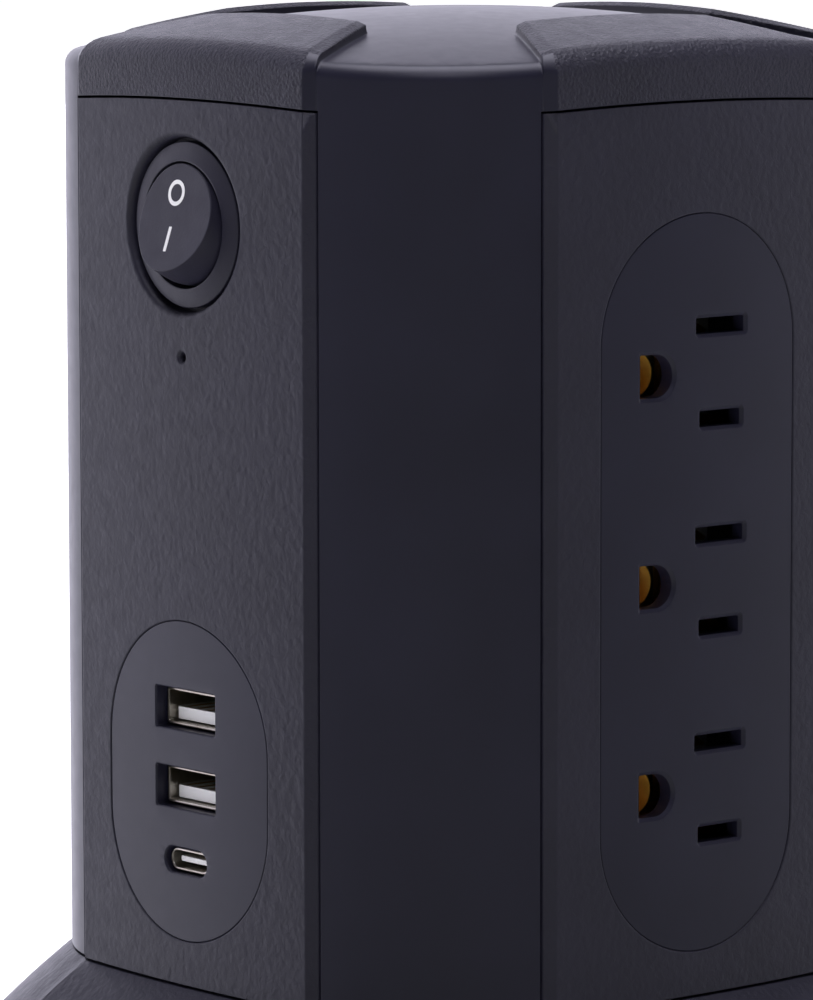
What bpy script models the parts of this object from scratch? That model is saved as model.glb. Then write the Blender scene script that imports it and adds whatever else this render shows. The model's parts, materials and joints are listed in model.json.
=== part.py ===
"""Tower power strip: a four-sided upright housing on a flared base.

Metres, +Z up. The origin is on the tower's axis, on the surface that the rubber feet stand on.
The front, with the rocker switch and the USB ports, looks along -Y; the other three sides carry
three receptacles each. Every side piece is drawn for the front and turned about Z to its side, so
"u" is the distance to the right of a side's middle and "depth" the distance out from the axis.
"""
import math

import bmesh
import bpy
from mathutils import Matrix

# ---- driving dimensions -------------------------------------------------------------------------
CLEARANCE = 0.0003          # gap left between touching pieces
WALL = 0.0022               # moulded wall thickness

SEAM_Z = 0.0275             # top of the base, where the tower starts
FACE_DEPTH = 0.0503         # middle of a side panel, from the axis
FACE_CROWN_RADIUS = 0.240   # side panels are slightly convex
FACE_HALF = 0.0249          # half width of a panel's face
CORNER_HALF = 0.0265        # half width of a panel with its edge chamfer
CORNER_DEPTH = 0.04785      # depth of that chamfer's outer end
COLUMN_SAGITTA = 0.00377    # how far a corner column bulges past its chord
PANEL_TOP = 0.12235         # height of a panel's top corners above the seam
PANEL_ARCH = 0.0008         # rise of its top edge in the middle

DOME_TOP_Z = SEAM_Z + 0.1340
DOME_RADIUS = 0.276
FLAP_RISE = 0.0019          # how far the four top pads stand above the dome
FLAP_INNER = 0.0315         # distance of a pad's straight inner edge from the axis
FLAP_INNER_HALF = 0.0172
FLAP_EDGE_ROUND = 0.0035

FOOT_RADIUS = 0.0055
FOOT_RADIAL = 0.061
FOOT_TOP = 0.0040
PLATE_BOTTOM = 0.0028
PLATE_TOP = 0.0056
SCREW_RADIAL = 0.0505
SCREW_RADIUS = 0.0015
SCREW_TIP_Z = 0.050

DECK_OPENING = 0.80         # the hole in the base's deck, as a share of the tower's plan
FLARE_SLOPE = math.radians(39.5)    # slope of the base just under the seam
FLARE_RADIUS = 0.150                # then a nearly straight slope
FLARE_TURN = math.radians(5.5)
SKIRT_ROUND = 0.012                 # then a round edge down to an upright skirt
SKIRT_SLOPE = math.radians(88)

OUTLET_FIRST_Z = SEAM_Z + 0.0288
OUTLET_PITCH = 0.02863
BLADE_U = 0.0038            # the two blade slots' middle
BLADE_OFFSET = 0.00635      # half the blade spacing
GROUND_U = -0.0081
NEUTRAL_SLOT = (0.0088, 0.0022)
LINE_SLOT = (0.0074, 0.0022)
GROUND_HOLE = (0.0063, 0.0059)
STADIUM_WIDTH = 0.0353
OUTLET_STADIUM = (SEAM_Z + 0.0064, SEAM_Z + 0.1079)
USB_STADIUM = (SEAM_Z + 0.0065, SEAM_Z + 0.0513)

MODULE_HALF = 0.0205        # half width of the plastic bodies behind the inserts
MODULE_WALL = 0.0018
MODULE_FRONT = 0.0469
MODULE_REAR = 0.0312
OUTLET_MODULE = (0.0310, 0.1390)
USB_MODULE = (0.0310, 0.0820)
INSERT_FACE = 0.0499
OUTLET_PLATE = 0.0023       # thickness of a receptacle's face, with its slots
STRIP_DEPTH = 0.0322        # rear of the contact strips
SLEEVE_FRONT = 0.0468       # front of the round ground contacts
SLEEVE_RADIUS = 0.0032
SLEEVE_BORE = 0.0026

USB_A_HEIGHTS = {"upper": SEAM_Z + 0.0388, "lower": SEAM_Z + 0.0278}
USB_A_MOUTH = (0.0131, 0.0057)
USB_A_FRONT = 0.0474        # front of the metal sleeve
USB_A_SHEET = 0.0004
USB_A_TONGUE = (0.0104, 0.0018)     # its top is level with the middle of the mouth
USB_C_Z = SEAM_Z + 0.0177
USB_C_MOUTH = (0.0092, 0.0036)
USB_C_FRONT = 0.0484
USB_C_SHEET = 0.00035
USB_C_TONGUE = (0.0060, 0.0008)
USB_TONGUE_SET_BACK = 0.0013
USB_BOARD_FRONT = 0.0345

SWITCH_Z = SEAM_Z + 0.1058
SWITCH_RECESS_MOUTH = 0.0128        # radius of the recess at the panel's face
SWITCH_RECESS_RADIUS = 0.0118       # and of its straight part, below the sloping rim
SWITCH_RECESS_FLOOR = 0.0482
BEZEL_RADIUS = 0.0112
BEZEL_EDGE = 0.04905                # the bezel rises from its outer edge to the rim of the bore
BEZEL_RIM = 0.0500
SWITCH_BORE = 0.0087
BARREL_RADIUS = 0.0098
BARREL_REAR = 0.0284
ROCKER_PIVOT_DEPTH = 0.0477
ROCKER_OFF_TILT = math.radians(-15.3)
ROCKER_DISH_RADIUS = 0.043
ROCKER_DISH_FLOOR = 0.00376         # height of the dish's middle above the pivot
ARM_PIVOT_DEPTH = 0.0371
ARM_OFF_TILT = -ROCKER_OFF_TILT / 2
LOAD_TERMINAL_RISE = 0.0064         # height of the load terminal above the line terminal

LED_Z = SEAM_Z + 0.0877
LED_HOLE_RADIUS = 0.0007

GLAND_U = -0.020            # the cord gland and the breaker button are in the back of the base
BREAKER_U = 0.020
PORT_Z = 0.0134
PORT_BOSS_RADIUS = 0.0074
PORT_FACE = 0.0642

SIDES = {"front": 0, "right": 1, "back": 2, "left": 3}
OUTLET_SIDES = ("right", "back", "left")

# colour, roughness, metallic
FINISHES = {
    "textured_plastic": ((0.045, 0.043, 0.052), 0.62, 0.0),
    "satin_plastic": ((0.032, 0.031, 0.040), 0.45, 0.0),
    "switch_plastic": ((0.010, 0.010, 0.012), 0.38, 0.0),
    "inner_plastic": ((0.60, 0.58, 0.52), 0.55, 0.0),
    "rubber": ((0.012, 0.012, 0.012), 0.85, 0.0),
    "steel": ((0.62, 0.61, 0.59), 0.30, 1.0),
    "brass": ((0.72, 0.45, 0.16), 0.33, 1.0),
    "white_plastic": ((0.80, 0.79, 0.76), 0.45, 0.0),
    "circuit_board": ((0.02, 0.16, 0.07), 0.50, 0.0),
    "varistor_blue": ((0.03, 0.12, 0.42), 0.40, 0.0),
    "clear_lens": ((0.75, 0.10, 0.06), 0.20, 0.0),
    "wire_black": ((0.02, 0.02, 0.02), 0.50, 0.0),
    "wire_white": ((0.75, 0.75, 0.72), 0.50, 0.0),
}


# ---- scene and materials ------------------------------------------------------------------------
for old in list(bpy.data.objects):
    bpy.data.objects.remove(old, do_unlink=True)

parts = bpy.data.collections.new("tower_power_strip")
bpy.context.scene.collection.children.link(parts)
tools = bpy.data.collections.new("cutters")
bpy.context.scene.collection.children.link(tools)

materials = {}
for finish, (colour, roughness, metallic) in FINISHES.items():
    material = bpy.data.materials.new(finish)
    material.use_nodes = True
    shader = material.node_tree.nodes["Principled BSDF"]
    shader.inputs["Base Color"].default_value = (*colour, 1.0)
    shader.inputs["Roughness"].default_value = roughness
    shader.inputs["Metallic"].default_value = metallic
    materials[finish] = material

side_empties = {}
for side, quarter in SIDES.items():
    empty = bpy.data.objects.new(side + "_side", None)
    empty.rotation_euler.z = math.radians(90 * quarter)
    parts.objects.link(empty)
    side_empties[side] = empty


# ---- modelling helpers --------------------------------------------------------------------------
def evaluated_mesh(obj):
    """The object's mesh with its modifiers applied."""
    bpy.context.view_layer.update()
    return bpy.data.meshes.new_from_object(obj.evaluated_get(bpy.context.evaluated_depsgraph_get()))


def tool_object(name, data):
    """A shape to be cut with, joined to another, or turned into a part."""
    obj = bpy.data.objects.new(name, data)
    obj.hide_render = True
    obj.display_type = "WIRE"
    tools.objects.link(obj)
    return obj


def clean(mesh, matrix=None, flatten=False):
    """Weld a mesh, turn its faces outward, and place it."""
    bm = bmesh.new()
    bm.from_mesh(mesh)
    bmesh.ops.remove_doubles(bm, verts=bm.verts, dist=1e-6)
    if flatten:
        bmesh.ops.dissolve_limit(bm, angle_limit=0.001, verts=bm.verts, edges=bm.edges)
    if matrix is not None:
        bm.transform(matrix)
    bmesh.ops.recalc_face_normals(bm, faces=bm.faces)
    bm.to_mesh(mesh)
    bm.free()
    return mesh


AXIS_TURN = {
    "Z": Matrix.Identity(4),
    "Y": Matrix(((1, 0, 0, 0), (0, 0, -1, 0), (0, 1, 0, 0), (0, 0, 0, 1))),
    "X": Matrix(((0, 0, 1, 0), (1, 0, 0, 0), (0, 1, 0, 0), (0, 0, 0, 1))),
}


def prism(outline, low, high, axis="Z", holes=()):
    """A flat outline given thickness along an axis: (x, y) along Z, (x, z) along Y, (y, z) along X."""
    curve = bpy.data.curves.new("outline", "CURVE")
    curve.dimensions = "2D"
    curve.fill_mode = "BOTH"
    curve.extrude = (high - low) / 2
    for loop in (outline, *holes):
        spline = curve.splines.new("POLY")
        spline.points.add(len(loop) - 1)
        for point, (a, b) in zip(spline.points, loop):
            point.co = (a, b, 0, 1)
        spline.use_cyclic_u = True
    obj = tool_object("outline", curve)
    mesh = evaluated_mesh(obj)
    bpy.data.objects.remove(obj)
    turn = AXIS_TURN[axis]
    middle = {"X": ((low + high) / 2, 0, 0), "Y": (0, (low + high) / 2, 0), "Z": (0, 0, (low + high) / 2)}
    return tool_object("prism", clean(mesh, Matrix.Translation(middle[axis]) @ turn, not holes))


def box(low, high):
    """A box between two corners."""
    bm = bmesh.new()
    size = [h - l for l, h in zip(low, high)]
    centre = [(h + l) / 2 for l, h in zip(low, high)]
    matrix = Matrix.Translation(centre) @ Matrix.Diagonal((*size, 1))
    bmesh.ops.create_cube(bm, size=1, matrix=matrix)
    mesh = bpy.data.meshes.new("box")
    bm.to_mesh(mesh)
    bm.free()
    return tool_object("box", mesh)


def circle(radius, centre=(0, 0), sides=24):
    return [(centre[0] + radius * math.cos(2 * math.pi * i / sides),
             centre[1] + radius * math.sin(2 * math.pi * i / sides)) for i in range(sides)]


def disc(radius, low, high, axis="Z", centre=(0, 0), sides=24):
    """A cylinder along an axis."""
    return prism(circle(radius, centre, sides), low, high, axis)


def turned(profile, steps=32, place=None):
    """A solid turned about Z from a profile of (radius, z) down its outer side, top to bottom."""
    mesh = bpy.data.meshes.new("turned")
    mesh.from_pydata([(r, 0, z) for r, z in profile], [(i, i + 1) for i in range(len(profile) - 1)], [])
    obj = tool_object("turned", mesh)
    screw = obj.modifiers.new("turn", "SCREW")
    screw.steps = screw.render_steps = steps
    screw.use_merge_vertices = True
    screw.merge_threshold = 1e-6
    obj.data = clean(evaluated_mesh(obj), place)
    obj.modifiers.clear()
    return obj


def boolean(obj, others, operation):
    """Cut, join or intersect an object with others, which are used up."""
    for other in others:
        modifier = obj.modifiers.new(operation.lower(), "BOOLEAN")
        modifier.operation = operation
        modifier.solver = "EXACT"
        modifier.object = other
        mesh = evaluated_mesh(obj)
        obj.modifiers.clear()
        obj.data = clean(mesh)
        bpy.data.objects.remove(other)
    return obj


def cut(obj, *others):
    return boolean(obj, others, "DIFFERENCE")


def join(obj, *others):
    return boolean(obj, others, "UNION")


def common(obj, other):
    return boolean(obj, (other,), "INTERSECT")


def bevel(obj, width, chosen, segments=2):
    """Round the edges that the test chooses, given the edge's two ends and two face normals."""
    bm = bmesh.new()
    bm.from_mesh(obj.data)
    edges = [e for e in bm.edges if len(e.link_faces) == 2 and e.calc_face_angle() > 0.3
             and chosen(e.verts[0].co, e.verts[1].co, *(f.normal for f in e.link_faces))]
    bmesh.ops.bevel(bm, geom=edges, offset=width, segments=segments, affect="EDGES", profile=0.5)
    bm.to_mesh(obj.data)
    bm.free()
    return obj


def facing_front(u, z, depth=0.0):
    """Place for something turned about Z that is to point out of the front side at (u, z)."""
    return Matrix.Translation((u, -depth, z)) @ Matrix.Rotation(math.radians(90), 4, "X")


def moved(obj, change):
    """Move each vertex by a rule."""
    for vertex in obj.data.vertices:
        vertex.co = change(*vertex.co)
    return obj


def part(name, shape, finish, side=None, location=(0, 0, 0), rotation=(0, 0, 0)):
    """Make a shape a named part, on a side of the tower if one is given."""
    mesh = shape.data
    shape_users = [o for o in parts.objects if o.data is mesh]
    if not shape_users:
        mesh.name = name
        mesh.materials.clear()
        mesh.materials.append(materials[finish])
        mesh.shade_smooth()
        mesh.set_sharp_from_angle(angle=math.radians(32))
    obj = bpy.data.objects.new(name, mesh)
    obj.location = location
    obj.rotation_euler = rotation
    if side:
        obj.parent = side_empties[side]
    parts.objects.link(obj)
    return obj


def single(name, shape, finish, **place):
    """A part that is used once: its tool object is removed."""
    obj = part(name, shape, finish, **place)
    bpy.data.objects.remove(shape)
    return obj


# ---- outlines -----------------------------------------------------------------------------------
def rectangle(width, height, centre=(0, 0)):
    x, y = centre
    return [(x - width / 2, y - height / 2), (x + width / 2, y - height / 2),
            (x + width / 2, y + height / 2), (x - width / 2, y + height / 2)]


def rounded(width, height, radius, centre=(0, 0), steps=3):
    """A rectangle with round corners."""
    points = []
    for corner, (sx, sy) in enumerate(((1, 1), (-1, 1), (-1, -1), (1, -1))):
        cx = centre[0] + sx * (width / 2 - radius)
        cy = centre[1] + sy * (height / 2 - radius)
        for i in range(steps + 1):
            angle = math.radians(90 * corner + 90 * i / steps)
            points.append((cx + radius * math.cos(angle), cy + radius * math.sin(angle)))
    return points


def stadium(width, bottom, top, steps=8):
    """An upright slot with half-round ends."""
    radius = width / 2
    points = []
    for centre, start in ((top - radius, 0), (bottom + radius, 180)):
        for i in range(steps + 1):
            angle = math.radians(start + 180 * i / steps)
            points.append((radius * math.cos(angle), centre + radius * math.sin(angle)))
    return points


def ground_outline(z, grow=0.0):
    """A grounding hole: flat away from the blade slots, half-round towards them."""
    width, height = (size / 2 + grow for size in GROUND_HOLE)
    arc = [(GROUND_U + width - height + height * math.cos(math.radians(a)),
            z + height * math.sin(math.radians(a))) for a in range(-90, 91, 30)]
    return [(GROUND_U - width, z - height), *arc, (GROUND_U - width, z + height)]


def face_drop(u, radius=FACE_CROWN_RADIUS):
    """How much a convex side falls back at a distance from its middle."""
    return u * u / (2 * radius)


def column_arc(steps, inset=0.0):
    """The front-right corner column's outside, from the front panel to the right-hand one."""
    chord = math.hypot(CORNER_DEPTH - CORNER_HALF, CORNER_DEPTH - CORNER_HALF)
    radius = ((chord / 2) ** 2 + COLUMN_SAGITTA ** 2) / (2 * COLUMN_SAGITTA)
    centre = (CORNER_HALF + CORNER_DEPTH) / 2 - (radius - COLUMN_SAGITTA) * math.sqrt(0.5)
    half = math.asin(chord / 2 / radius)
    return [(centre + (radius - inset) * math.cos(a), -centre + (radius - inset) * math.sin(a))
            for a in (-math.pi / 4 + half * (2 * i / steps - 1) for i in range(steps + 1))]


def quarter_turns(points):
    """The same stretch of outline on all four sides."""
    result = []
    for turn in range(4):
        c, s = round(math.cos(turn * math.pi / 2)), round(math.sin(turn * math.pi / 2))
        result += [(c * x - s * y, s * x + c * y) for x, y in points]
    return result


def tower_outline(face_depth, face_half, inset=0.0, face_steps=4, column_steps=6):
    """The whole plan: a convex side and a corner column, four times."""
    side = []
    for i in range(face_steps + 1):
        u = face_half * (2 * i / face_steps - 1)
        side.append((u, -(face_depth - face_drop(u))))
    return quarter_turns(side + column_arc(column_steps, inset))


def flare_directions(face_steps=2, column_steps=4):
    """The way each point of the seam outline moves outward down the base, per unit of spread."""
    corner_slope = math.tan(math.radians(22.5))
    side = [(corner_slope * FACE_HALF / CORNER_HALF * (2 * i / face_steps - 1), -1)
            for i in range(face_steps + 1)]
    for i in range(column_steps + 1):
        t = 2 * i / column_steps - 1
        reach = 1 + (1 / math.cos(math.radians(22.5)) - 1) * t * t
        angle = math.radians(45 + 22.5 * t)
        side.append((reach * math.sin(angle), -reach * math.cos(angle)))
    return quarter_turns(side)


def flared_outline(out):
    """The tower's plan spread outward by a distance."""
    seam = tower_outline(FACE_DEPTH, FACE_HALF, 0.0, 2, 4)
    return [(x + out * dx, y + out * dy) for (x, y), (dx, dy) in zip(seam, flare_directions())]


def flare_profile():
    """The base's spread and height down its outside, from the seam to the skirt."""
    points = []
    out, z = 0.0, SEAM_Z
    angle = FLARE_SLOPE
    for turn, radius, steps in ((FLARE_TURN, FLARE_RADIUS, 1),
                                (SKIRT_SLOPE - FLARE_SLOPE - FLARE_TURN, SKIRT_ROUND, 3)):
        for _ in range(steps):
            points.append((out, z))
            after = angle + turn / steps
            out += radius * (math.sin(after) - math.sin(angle))
            z -= radius * (math.cos(angle) - math.cos(after))
            angle = after
    points.append((out, z))
    points.append((out, PLATE_BOTTOM))
    return points


def diagonals(radial):
    """The four corners' places at a distance from the axis."""
    d = radial * math.sqrt(0.5)
    return [(d, -d), (d, d), (-d, d), (-d, -d)]


# ---- housing and base ---------------------------------------------------------------------------
def dome(rise, low, reach=0.075, rings=4):
    """A shallow dome over the tower, as a solid down to a level."""
    profile = [(reach * i / rings, DOME_TOP_Z + rise - (reach * i / rings) ** 2 / (2 * DOME_RADIUS))
               for i in range(rings + 1)]
    return turned(profile + [(reach, low), (0, low)], 28)


def top_pad():
    """The raised pad over one side, which turns down into that side's upper edge."""
    low = SEAM_Z + PANEL_TOP - 0.004
    inner_top = DOME_TOP_Z + FLAP_RISE - FLAP_INNER ** 2 / (2 * DOME_RADIUS)
    front = FACE_DEPTH - FLAP_EDGE_ROUND
    front_top = DOME_TOP_Z + FLAP_RISE - front ** 2 / (2 * DOME_RADIUS) - 0.0006
    outline = [(-FLAP_INNER, low), (-FLAP_INNER, inner_top)]
    for i in range(4):
        a = math.radians(90 * i / 3)
        outline.append((-front - FLAP_EDGE_ROUND * math.sin(a),
                        front_top - FLAP_EDGE_ROUND * (1 - math.cos(a))))
    outline.append((-FACE_DEPTH, low))
    pad = None
    steps = 4
    for i in range(steps):
        u0 = CORNER_HALF * (2 * i / steps - 1)
        u1 = CORNER_HALF * (2 * (i + 1) / steps - 1)
        slab = prism(outline, u0, u1, "X")
        moved(slab, lambda x, y, z: (x, y + face_drop(x), z))
        pad = join(pad, slab) if pad else slab
    plan = [(-FLAP_INNER_HALF, -FLAP_INNER + 0.001), (-CORNER_HALF + 0.0001, -CORNER_DEPTH + 0.0001),
            (-FACE_HALF, -FACE_DEPTH + face_drop(FACE_HALF)), (-FACE_HALF, -FACE_DEPTH - 0.002),
            (FACE_HALF, -FACE_DEPTH - 0.002), (FACE_HALF, -FACE_DEPTH + face_drop(FACE_HALF)),
            (CORNER_HALF - 0.0001, -CORNER_DEPTH + 0.0001), (FLAP_INNER_HALF, -FLAP_INNER + 0.001)]
    common(pad, prism(plan, low - 0.001, DOME_TOP_Z + 0.01))
    top = front_top - 0.004
    return bevel(pad, 0.0011, lambda a, b, n, m: min(a.z, b.z) > top and min(a.y, b.y) > -front - 0.0015
                 and max(n.z, m.z) > 0.8 and min(n.z, m.z) < 0.3, segments=1)


def window():
    """The opening for a side panel, with its arched top edge."""
    half = CORNER_HALF + 0.0002
    top = SEAM_Z + PANEL_TOP
    edge = [(half * (1 - i / 5), top + PANEL_ARCH * (1 - (1 - i / 5) ** 2)) for i in range(11)]
    return prism([(-half, SEAM_Z - 0.01), (half, SEAM_Z - 0.01), *edge], -0.060, -0.040, "Y")


def tower_housing():
    shell = prism(tower_outline(FACE_DEPTH - 0.0004, FACE_HALF), SEAM_Z + CLEARANCE, 0.175)
    common(shell, dome(0, SEAM_Z - 0.01))
    for turn in range(4):
        pad = top_pad()
        pad.data.transform(Matrix.Rotation(turn * math.pi / 2, 4, "Z"))
        join(shell, pad)
    cavity = prism(tower_outline(FACE_DEPTH - WALL, FACE_HALF - 0.0006, WALL), SEAM_Z - 0.005, 0.175)
    cut(shell, common(cavity, dome(-WALL, SEAM_Z - 0.01)))
    for turn in range(4):
        opening = window()
        opening.data.transform(Matrix.Rotation(turn * math.pi / 2, 4, "Z"))
        cut(shell, opening)
    for x, y in diagonals(SCREW_RADIAL):
        join(shell, disc(0.0042, SEAM_Z + CLEARANCE, 0.058, centre=(x, y), sides=12))
        cut(shell, disc(SCREW_RADIUS + CLEARANCE, SEAM_Z - 0.01, SCREW_TIP_Z + 0.002,
                        centre=(x, y), sides=12))
    single("tower_housing", shell, "satin_plastic")


def base_shell():
    rings = [[(x * DECK_OPENING, y * DECK_OPENING, SEAM_Z) for x, y in flared_outline(0)]]
    rings += [[(x, y, z) for x, y in flared_outline(out)] for out, z in flare_profile()]
    count = len(rings[0])
    vertices = [v for ring in rings for v in ring]
    faces = []
    for low in range(0, (len(rings) - 1) * count, count):
        for i in range(count):
            after = (i + 1) % count
            faces.append((low + i, low + count + i, low + count + after, low + after))
    mesh = bpy.data.meshes.new("base")
    mesh.from_pydata(vertices, [], faces)
    shell = tool_object("base", clean(mesh))
    solid = shell.modifiers.new("wall", "SOLIDIFY")
    solid.thickness = WALL
    solid.offset = -1
    solid.use_even_offset = True
    shell.data = clean(evaluated_mesh(shell))
    shell.modifiers.clear()
    for x, y in diagonals(SCREW_RADIAL):
        join(shell, disc(0.0036, 0.0081, SEAM_Z - 0.0004, centre=(x, y), sides=12))
        cut(shell, disc(SCREW_RADIUS + CLEARANCE, 0.006, SEAM_Z + 0.002, centre=(x, y), sides=12))
    for u, bore in ((GLAND_U, 0.0055), (BREAKER_U, 0.0052)):
        join(shell, disc(PORT_BOSS_RADIUS, 0.052, PORT_FACE, "Y", (u, PORT_Z), 20))
        cut(shell, disc(bore + CLEARANCE, 0.040, 0.070, "Y", (u, PORT_Z), 20))
    cut(shell, disc(0.0066, PORT_FACE - 0.0018, 0.070, "Y", (GLAND_U, PORT_Z), 20))
    single("base_shell", shell, "textured_plastic")


def bottom_plate():
    spread = flare_profile()[-1][0] - WALL - CLEARANCE
    plate = prism(flared_outline(spread), PLATE_BOTTOM, PLATE_TOP)
    for x, y in diagonals(SCREW_RADIAL):
        join(plate, disc(0.0050, PLATE_BOTTOM + 0.001, PLATE_TOP + 0.0022, centre=(x, y), sides=12))
        cut(plate, disc(0.0032, PLATE_BOTTOM - 0.001, PLATE_BOTTOM + 0.0026, centre=(x, y), sides=12),
            disc(SCREW_RADIUS + CLEARANCE, PLATE_BOTTOM, PLATE_TOP + 0.004, centre=(x, y), sides=12))
    for x, y in diagonals(FOOT_RADIAL):
        cut(plate, disc(FOOT_RADIUS + CLEARANCE, PLATE_BOTTOM - 0.001, FOOT_TOP + CLEARANCE,
                        centre=(x, y), sides=16))
    single("bottom_plate", plate, "textured_plastic")


def feet_and_screws():
    foot = turned([(0, FOOT_TOP), (FOOT_RADIUS, FOOT_TOP), (FOOT_RADIUS, 0.0006),
                   (FOOT_RADIUS - 0.0006, 0), (0, 0)], 16)
    head_low, head_high = PLATE_BOTTOM + CLEARANCE, PLATE_BOTTOM + 0.0021
    screw = turned([(0, SCREW_TIP_Z), (0.0004, SCREW_TIP_Z), (SCREW_RADIUS, SCREW_TIP_Z - 0.003),
                    (SCREW_RADIUS, head_high), (0.0028, head_high), (0.0028, head_low + 0.0007),
                    (0.0021, head_low), (0, head_low)], 10)
    cut(screw, box((-0.0018, -0.0004, head_low - 0.001), (0.0018, 0.0004, head_low + 0.0009)),
        box((-0.0004, -0.0018, head_low - 0.001), (0.0004, 0.0018, head_low + 0.0009)))
    for number, (foot_xy, screw_xy) in enumerate(zip(diagonals(FOOT_RADIAL), diagonals(SCREW_RADIAL)), 1):
        part(f"rubber_foot_{number}", foot, "rubber", location=(*foot_xy, 0))
        part(f"base_screw_{number}", screw, "steel", location=(*screw_xy, 0))
    bpy.data.objects.remove(foot)
    bpy.data.objects.remove(screw)


# ---- side panels --------------------------------------------------------------------------------
def side_panel(opening):
    """A convex channel-shaped panel, with flanges that lie behind the columns, and a stadium opening."""
    half, inner_half = CORNER_HALF - 0.0001, FACE_HALF - 0.0010
    flange_half, flange_front, flange_rear = 0.0285, 0.0444, 0.0426
    steps = 8
    across = [2 * i / steps - 1 for i in range(steps + 1)]
    outer = [(FACE_HALF * t, -FACE_DEPTH + face_drop(FACE_HALF * t)) for t in across]
    inner = [(-inner_half * t, -FACE_DEPTH + WALL + face_drop(inner_half * t)) for t in across]
    right = [(half, -CORNER_DEPTH), (half, -flange_front), (flange_half, -flange_front),
             (flange_half, -flange_rear), (inner_half, -flange_rear)]
    outline = outer + right + inner + [(-x, y) for x, y in reversed(right)]
    low, high = SEAM_Z + CLEARANCE, SEAM_Z + PANEL_TOP - CLEARANCE
    panel = prism(outline, low, high)
    arch = lambda x: PANEL_ARCH * max(0, 1 - (x / CORNER_HALF) ** 2)
    moved(panel, lambda x, y, z: (x, y, z + arch(x) * (z > high - 0.001)))
    return cut(panel, prism(stadium(STADIUM_WIDTH, *opening), -0.060, -0.046, "Y"))


def outlet_panels():
    panel = side_panel(OUTLET_STADIUM)
    for side in OUTLET_SIDES:
        part(f"outlet_panel_{side}", panel, "textured_plastic", side=side)
    bpy.data.objects.remove(panel)


def switch_panel():
    panel = side_panel(USB_STADIUM)
    centre = (0, SWITCH_Z)
    join(panel, disc(SWITCH_RECESS_MOUTH + 0.0017, -0.0487, -0.0460, "Y", centre, 32))
    rim = turned([(0, 0.0520), (SWITCH_RECESS_MOUTH + 0.0020, 0.0520), (SWITCH_RECESS_MOUTH, 0.0501),
                  (SWITCH_RECESS_RADIUS, 0.0490), (SWITCH_RECESS_RADIUS, SWITCH_RECESS_FLOOR),
                  (0, SWITCH_RECESS_FLOOR)], 32, facing_front(0, SWITCH_Z))
    cut(panel, rim, disc(BARREL_RADIUS + CLEARANCE, -0.060, -0.040, "Y", centre, 32),
        disc(LED_HOLE_RADIUS, -0.060, -0.045, "Y", (0, LED_Z), 12))
    single("switch_panel", panel, "textured_plastic")


# ---- receptacles --------------------------------------------------------------------------------
def outlet_heights():
    return [OUTLET_FIRST_Z + OUTLET_PITCH * i for i in range(3)]


def inset_stadium(opening, inset, steps=8):
    """A panel's stadium opening, made smaller all round."""
    return stadium(STADIUM_WIDTH - 2 * inset, opening[0] + inset, opening[1] - inset, steps)


def insert(opening, holes, module, module_rear, plate=None):
    """An insert that fills a panel's stadium opening, on a box-shaped body behind the panel.

    A plate thickness leaves the boss hollow behind its face.
    """
    low, high = module
    middle = (low + high) / 2
    body = prism(rounded(2 * MODULE_HALF, high - low, 0.002, (0, middle)), -MODULE_FRONT, -module_rear, "Y")
    join(body, prism(inset_stadium(opening, CLEARANCE), -INSERT_FACE, -MODULE_FRONT + 0.0005, "Y"))
    cavity = rounded(2 * (MODULE_HALF - MODULE_WALL), high - low - 2 * MODULE_WALL, 0.001, (0, middle))
    cut(body, prism(cavity, -MODULE_FRONT + 0.0020, -module_rear + 0.005, "Y"))
    if plate:
        hollow = inset_stadium(opening, MODULE_WALL, 5)
        cut(body, prism(hollow, -INSERT_FACE + plate, -MODULE_FRONT + 0.004, "Y"))
    for hole in holes:
        cut(body, prism(hole, -0.060, -MODULE_FRONT + 0.006, "Y"))
    return body


def receptacle_modules():
    holes = []
    for z in outlet_heights():
        holes.append(rectangle(*NEUTRAL_SLOT, (BLADE_U, z + BLADE_OFFSET)))
        holes.append(rectangle(*LINE_SLOT, (BLADE_U, z - BLADE_OFFSET)))
        holes.append(ground_outline(z))
    low, high = OUTLET_MODULE
    face = insert(OUTLET_STADIUM, holes, OUTLET_MODULE, MODULE_REAR, OUTLET_PLATE)
    cover = prism(rounded(2 * MODULE_HALF, high - low, 0.002, (0, (low + high) / 2)),
                  -MODULE_REAR + CLEARANCE, -MODULE_REAR + CLEARANCE + 0.0020, "Y")
    for side in OUTLET_SIDES:
        part(f"receptacle_face_{side}", face, "satin_plastic", side=side)
        part(f"receptacle_cover_{side}", cover, "inner_plastic", side=side)
    bpy.data.objects.remove(face)
    bpy.data.objects.remove(cover)


def fork(z, u_low, u_high):
    """A sprung pair of leaves that grips a flat blade from above and below."""
    upper = [(-0.0328, 0.0016), (-0.0425, 0.0010), (-0.0438, 0.0016),
             (-0.0442, 0.0012), (-0.0425, 0.0005), (-0.0334, 0.0010)]
    lower = [(y, -dz) for y, dz in reversed(upper)]
    return prism([(y, z + dz) for y, dz in upper + lower], u_low, u_high, "X")


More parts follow.
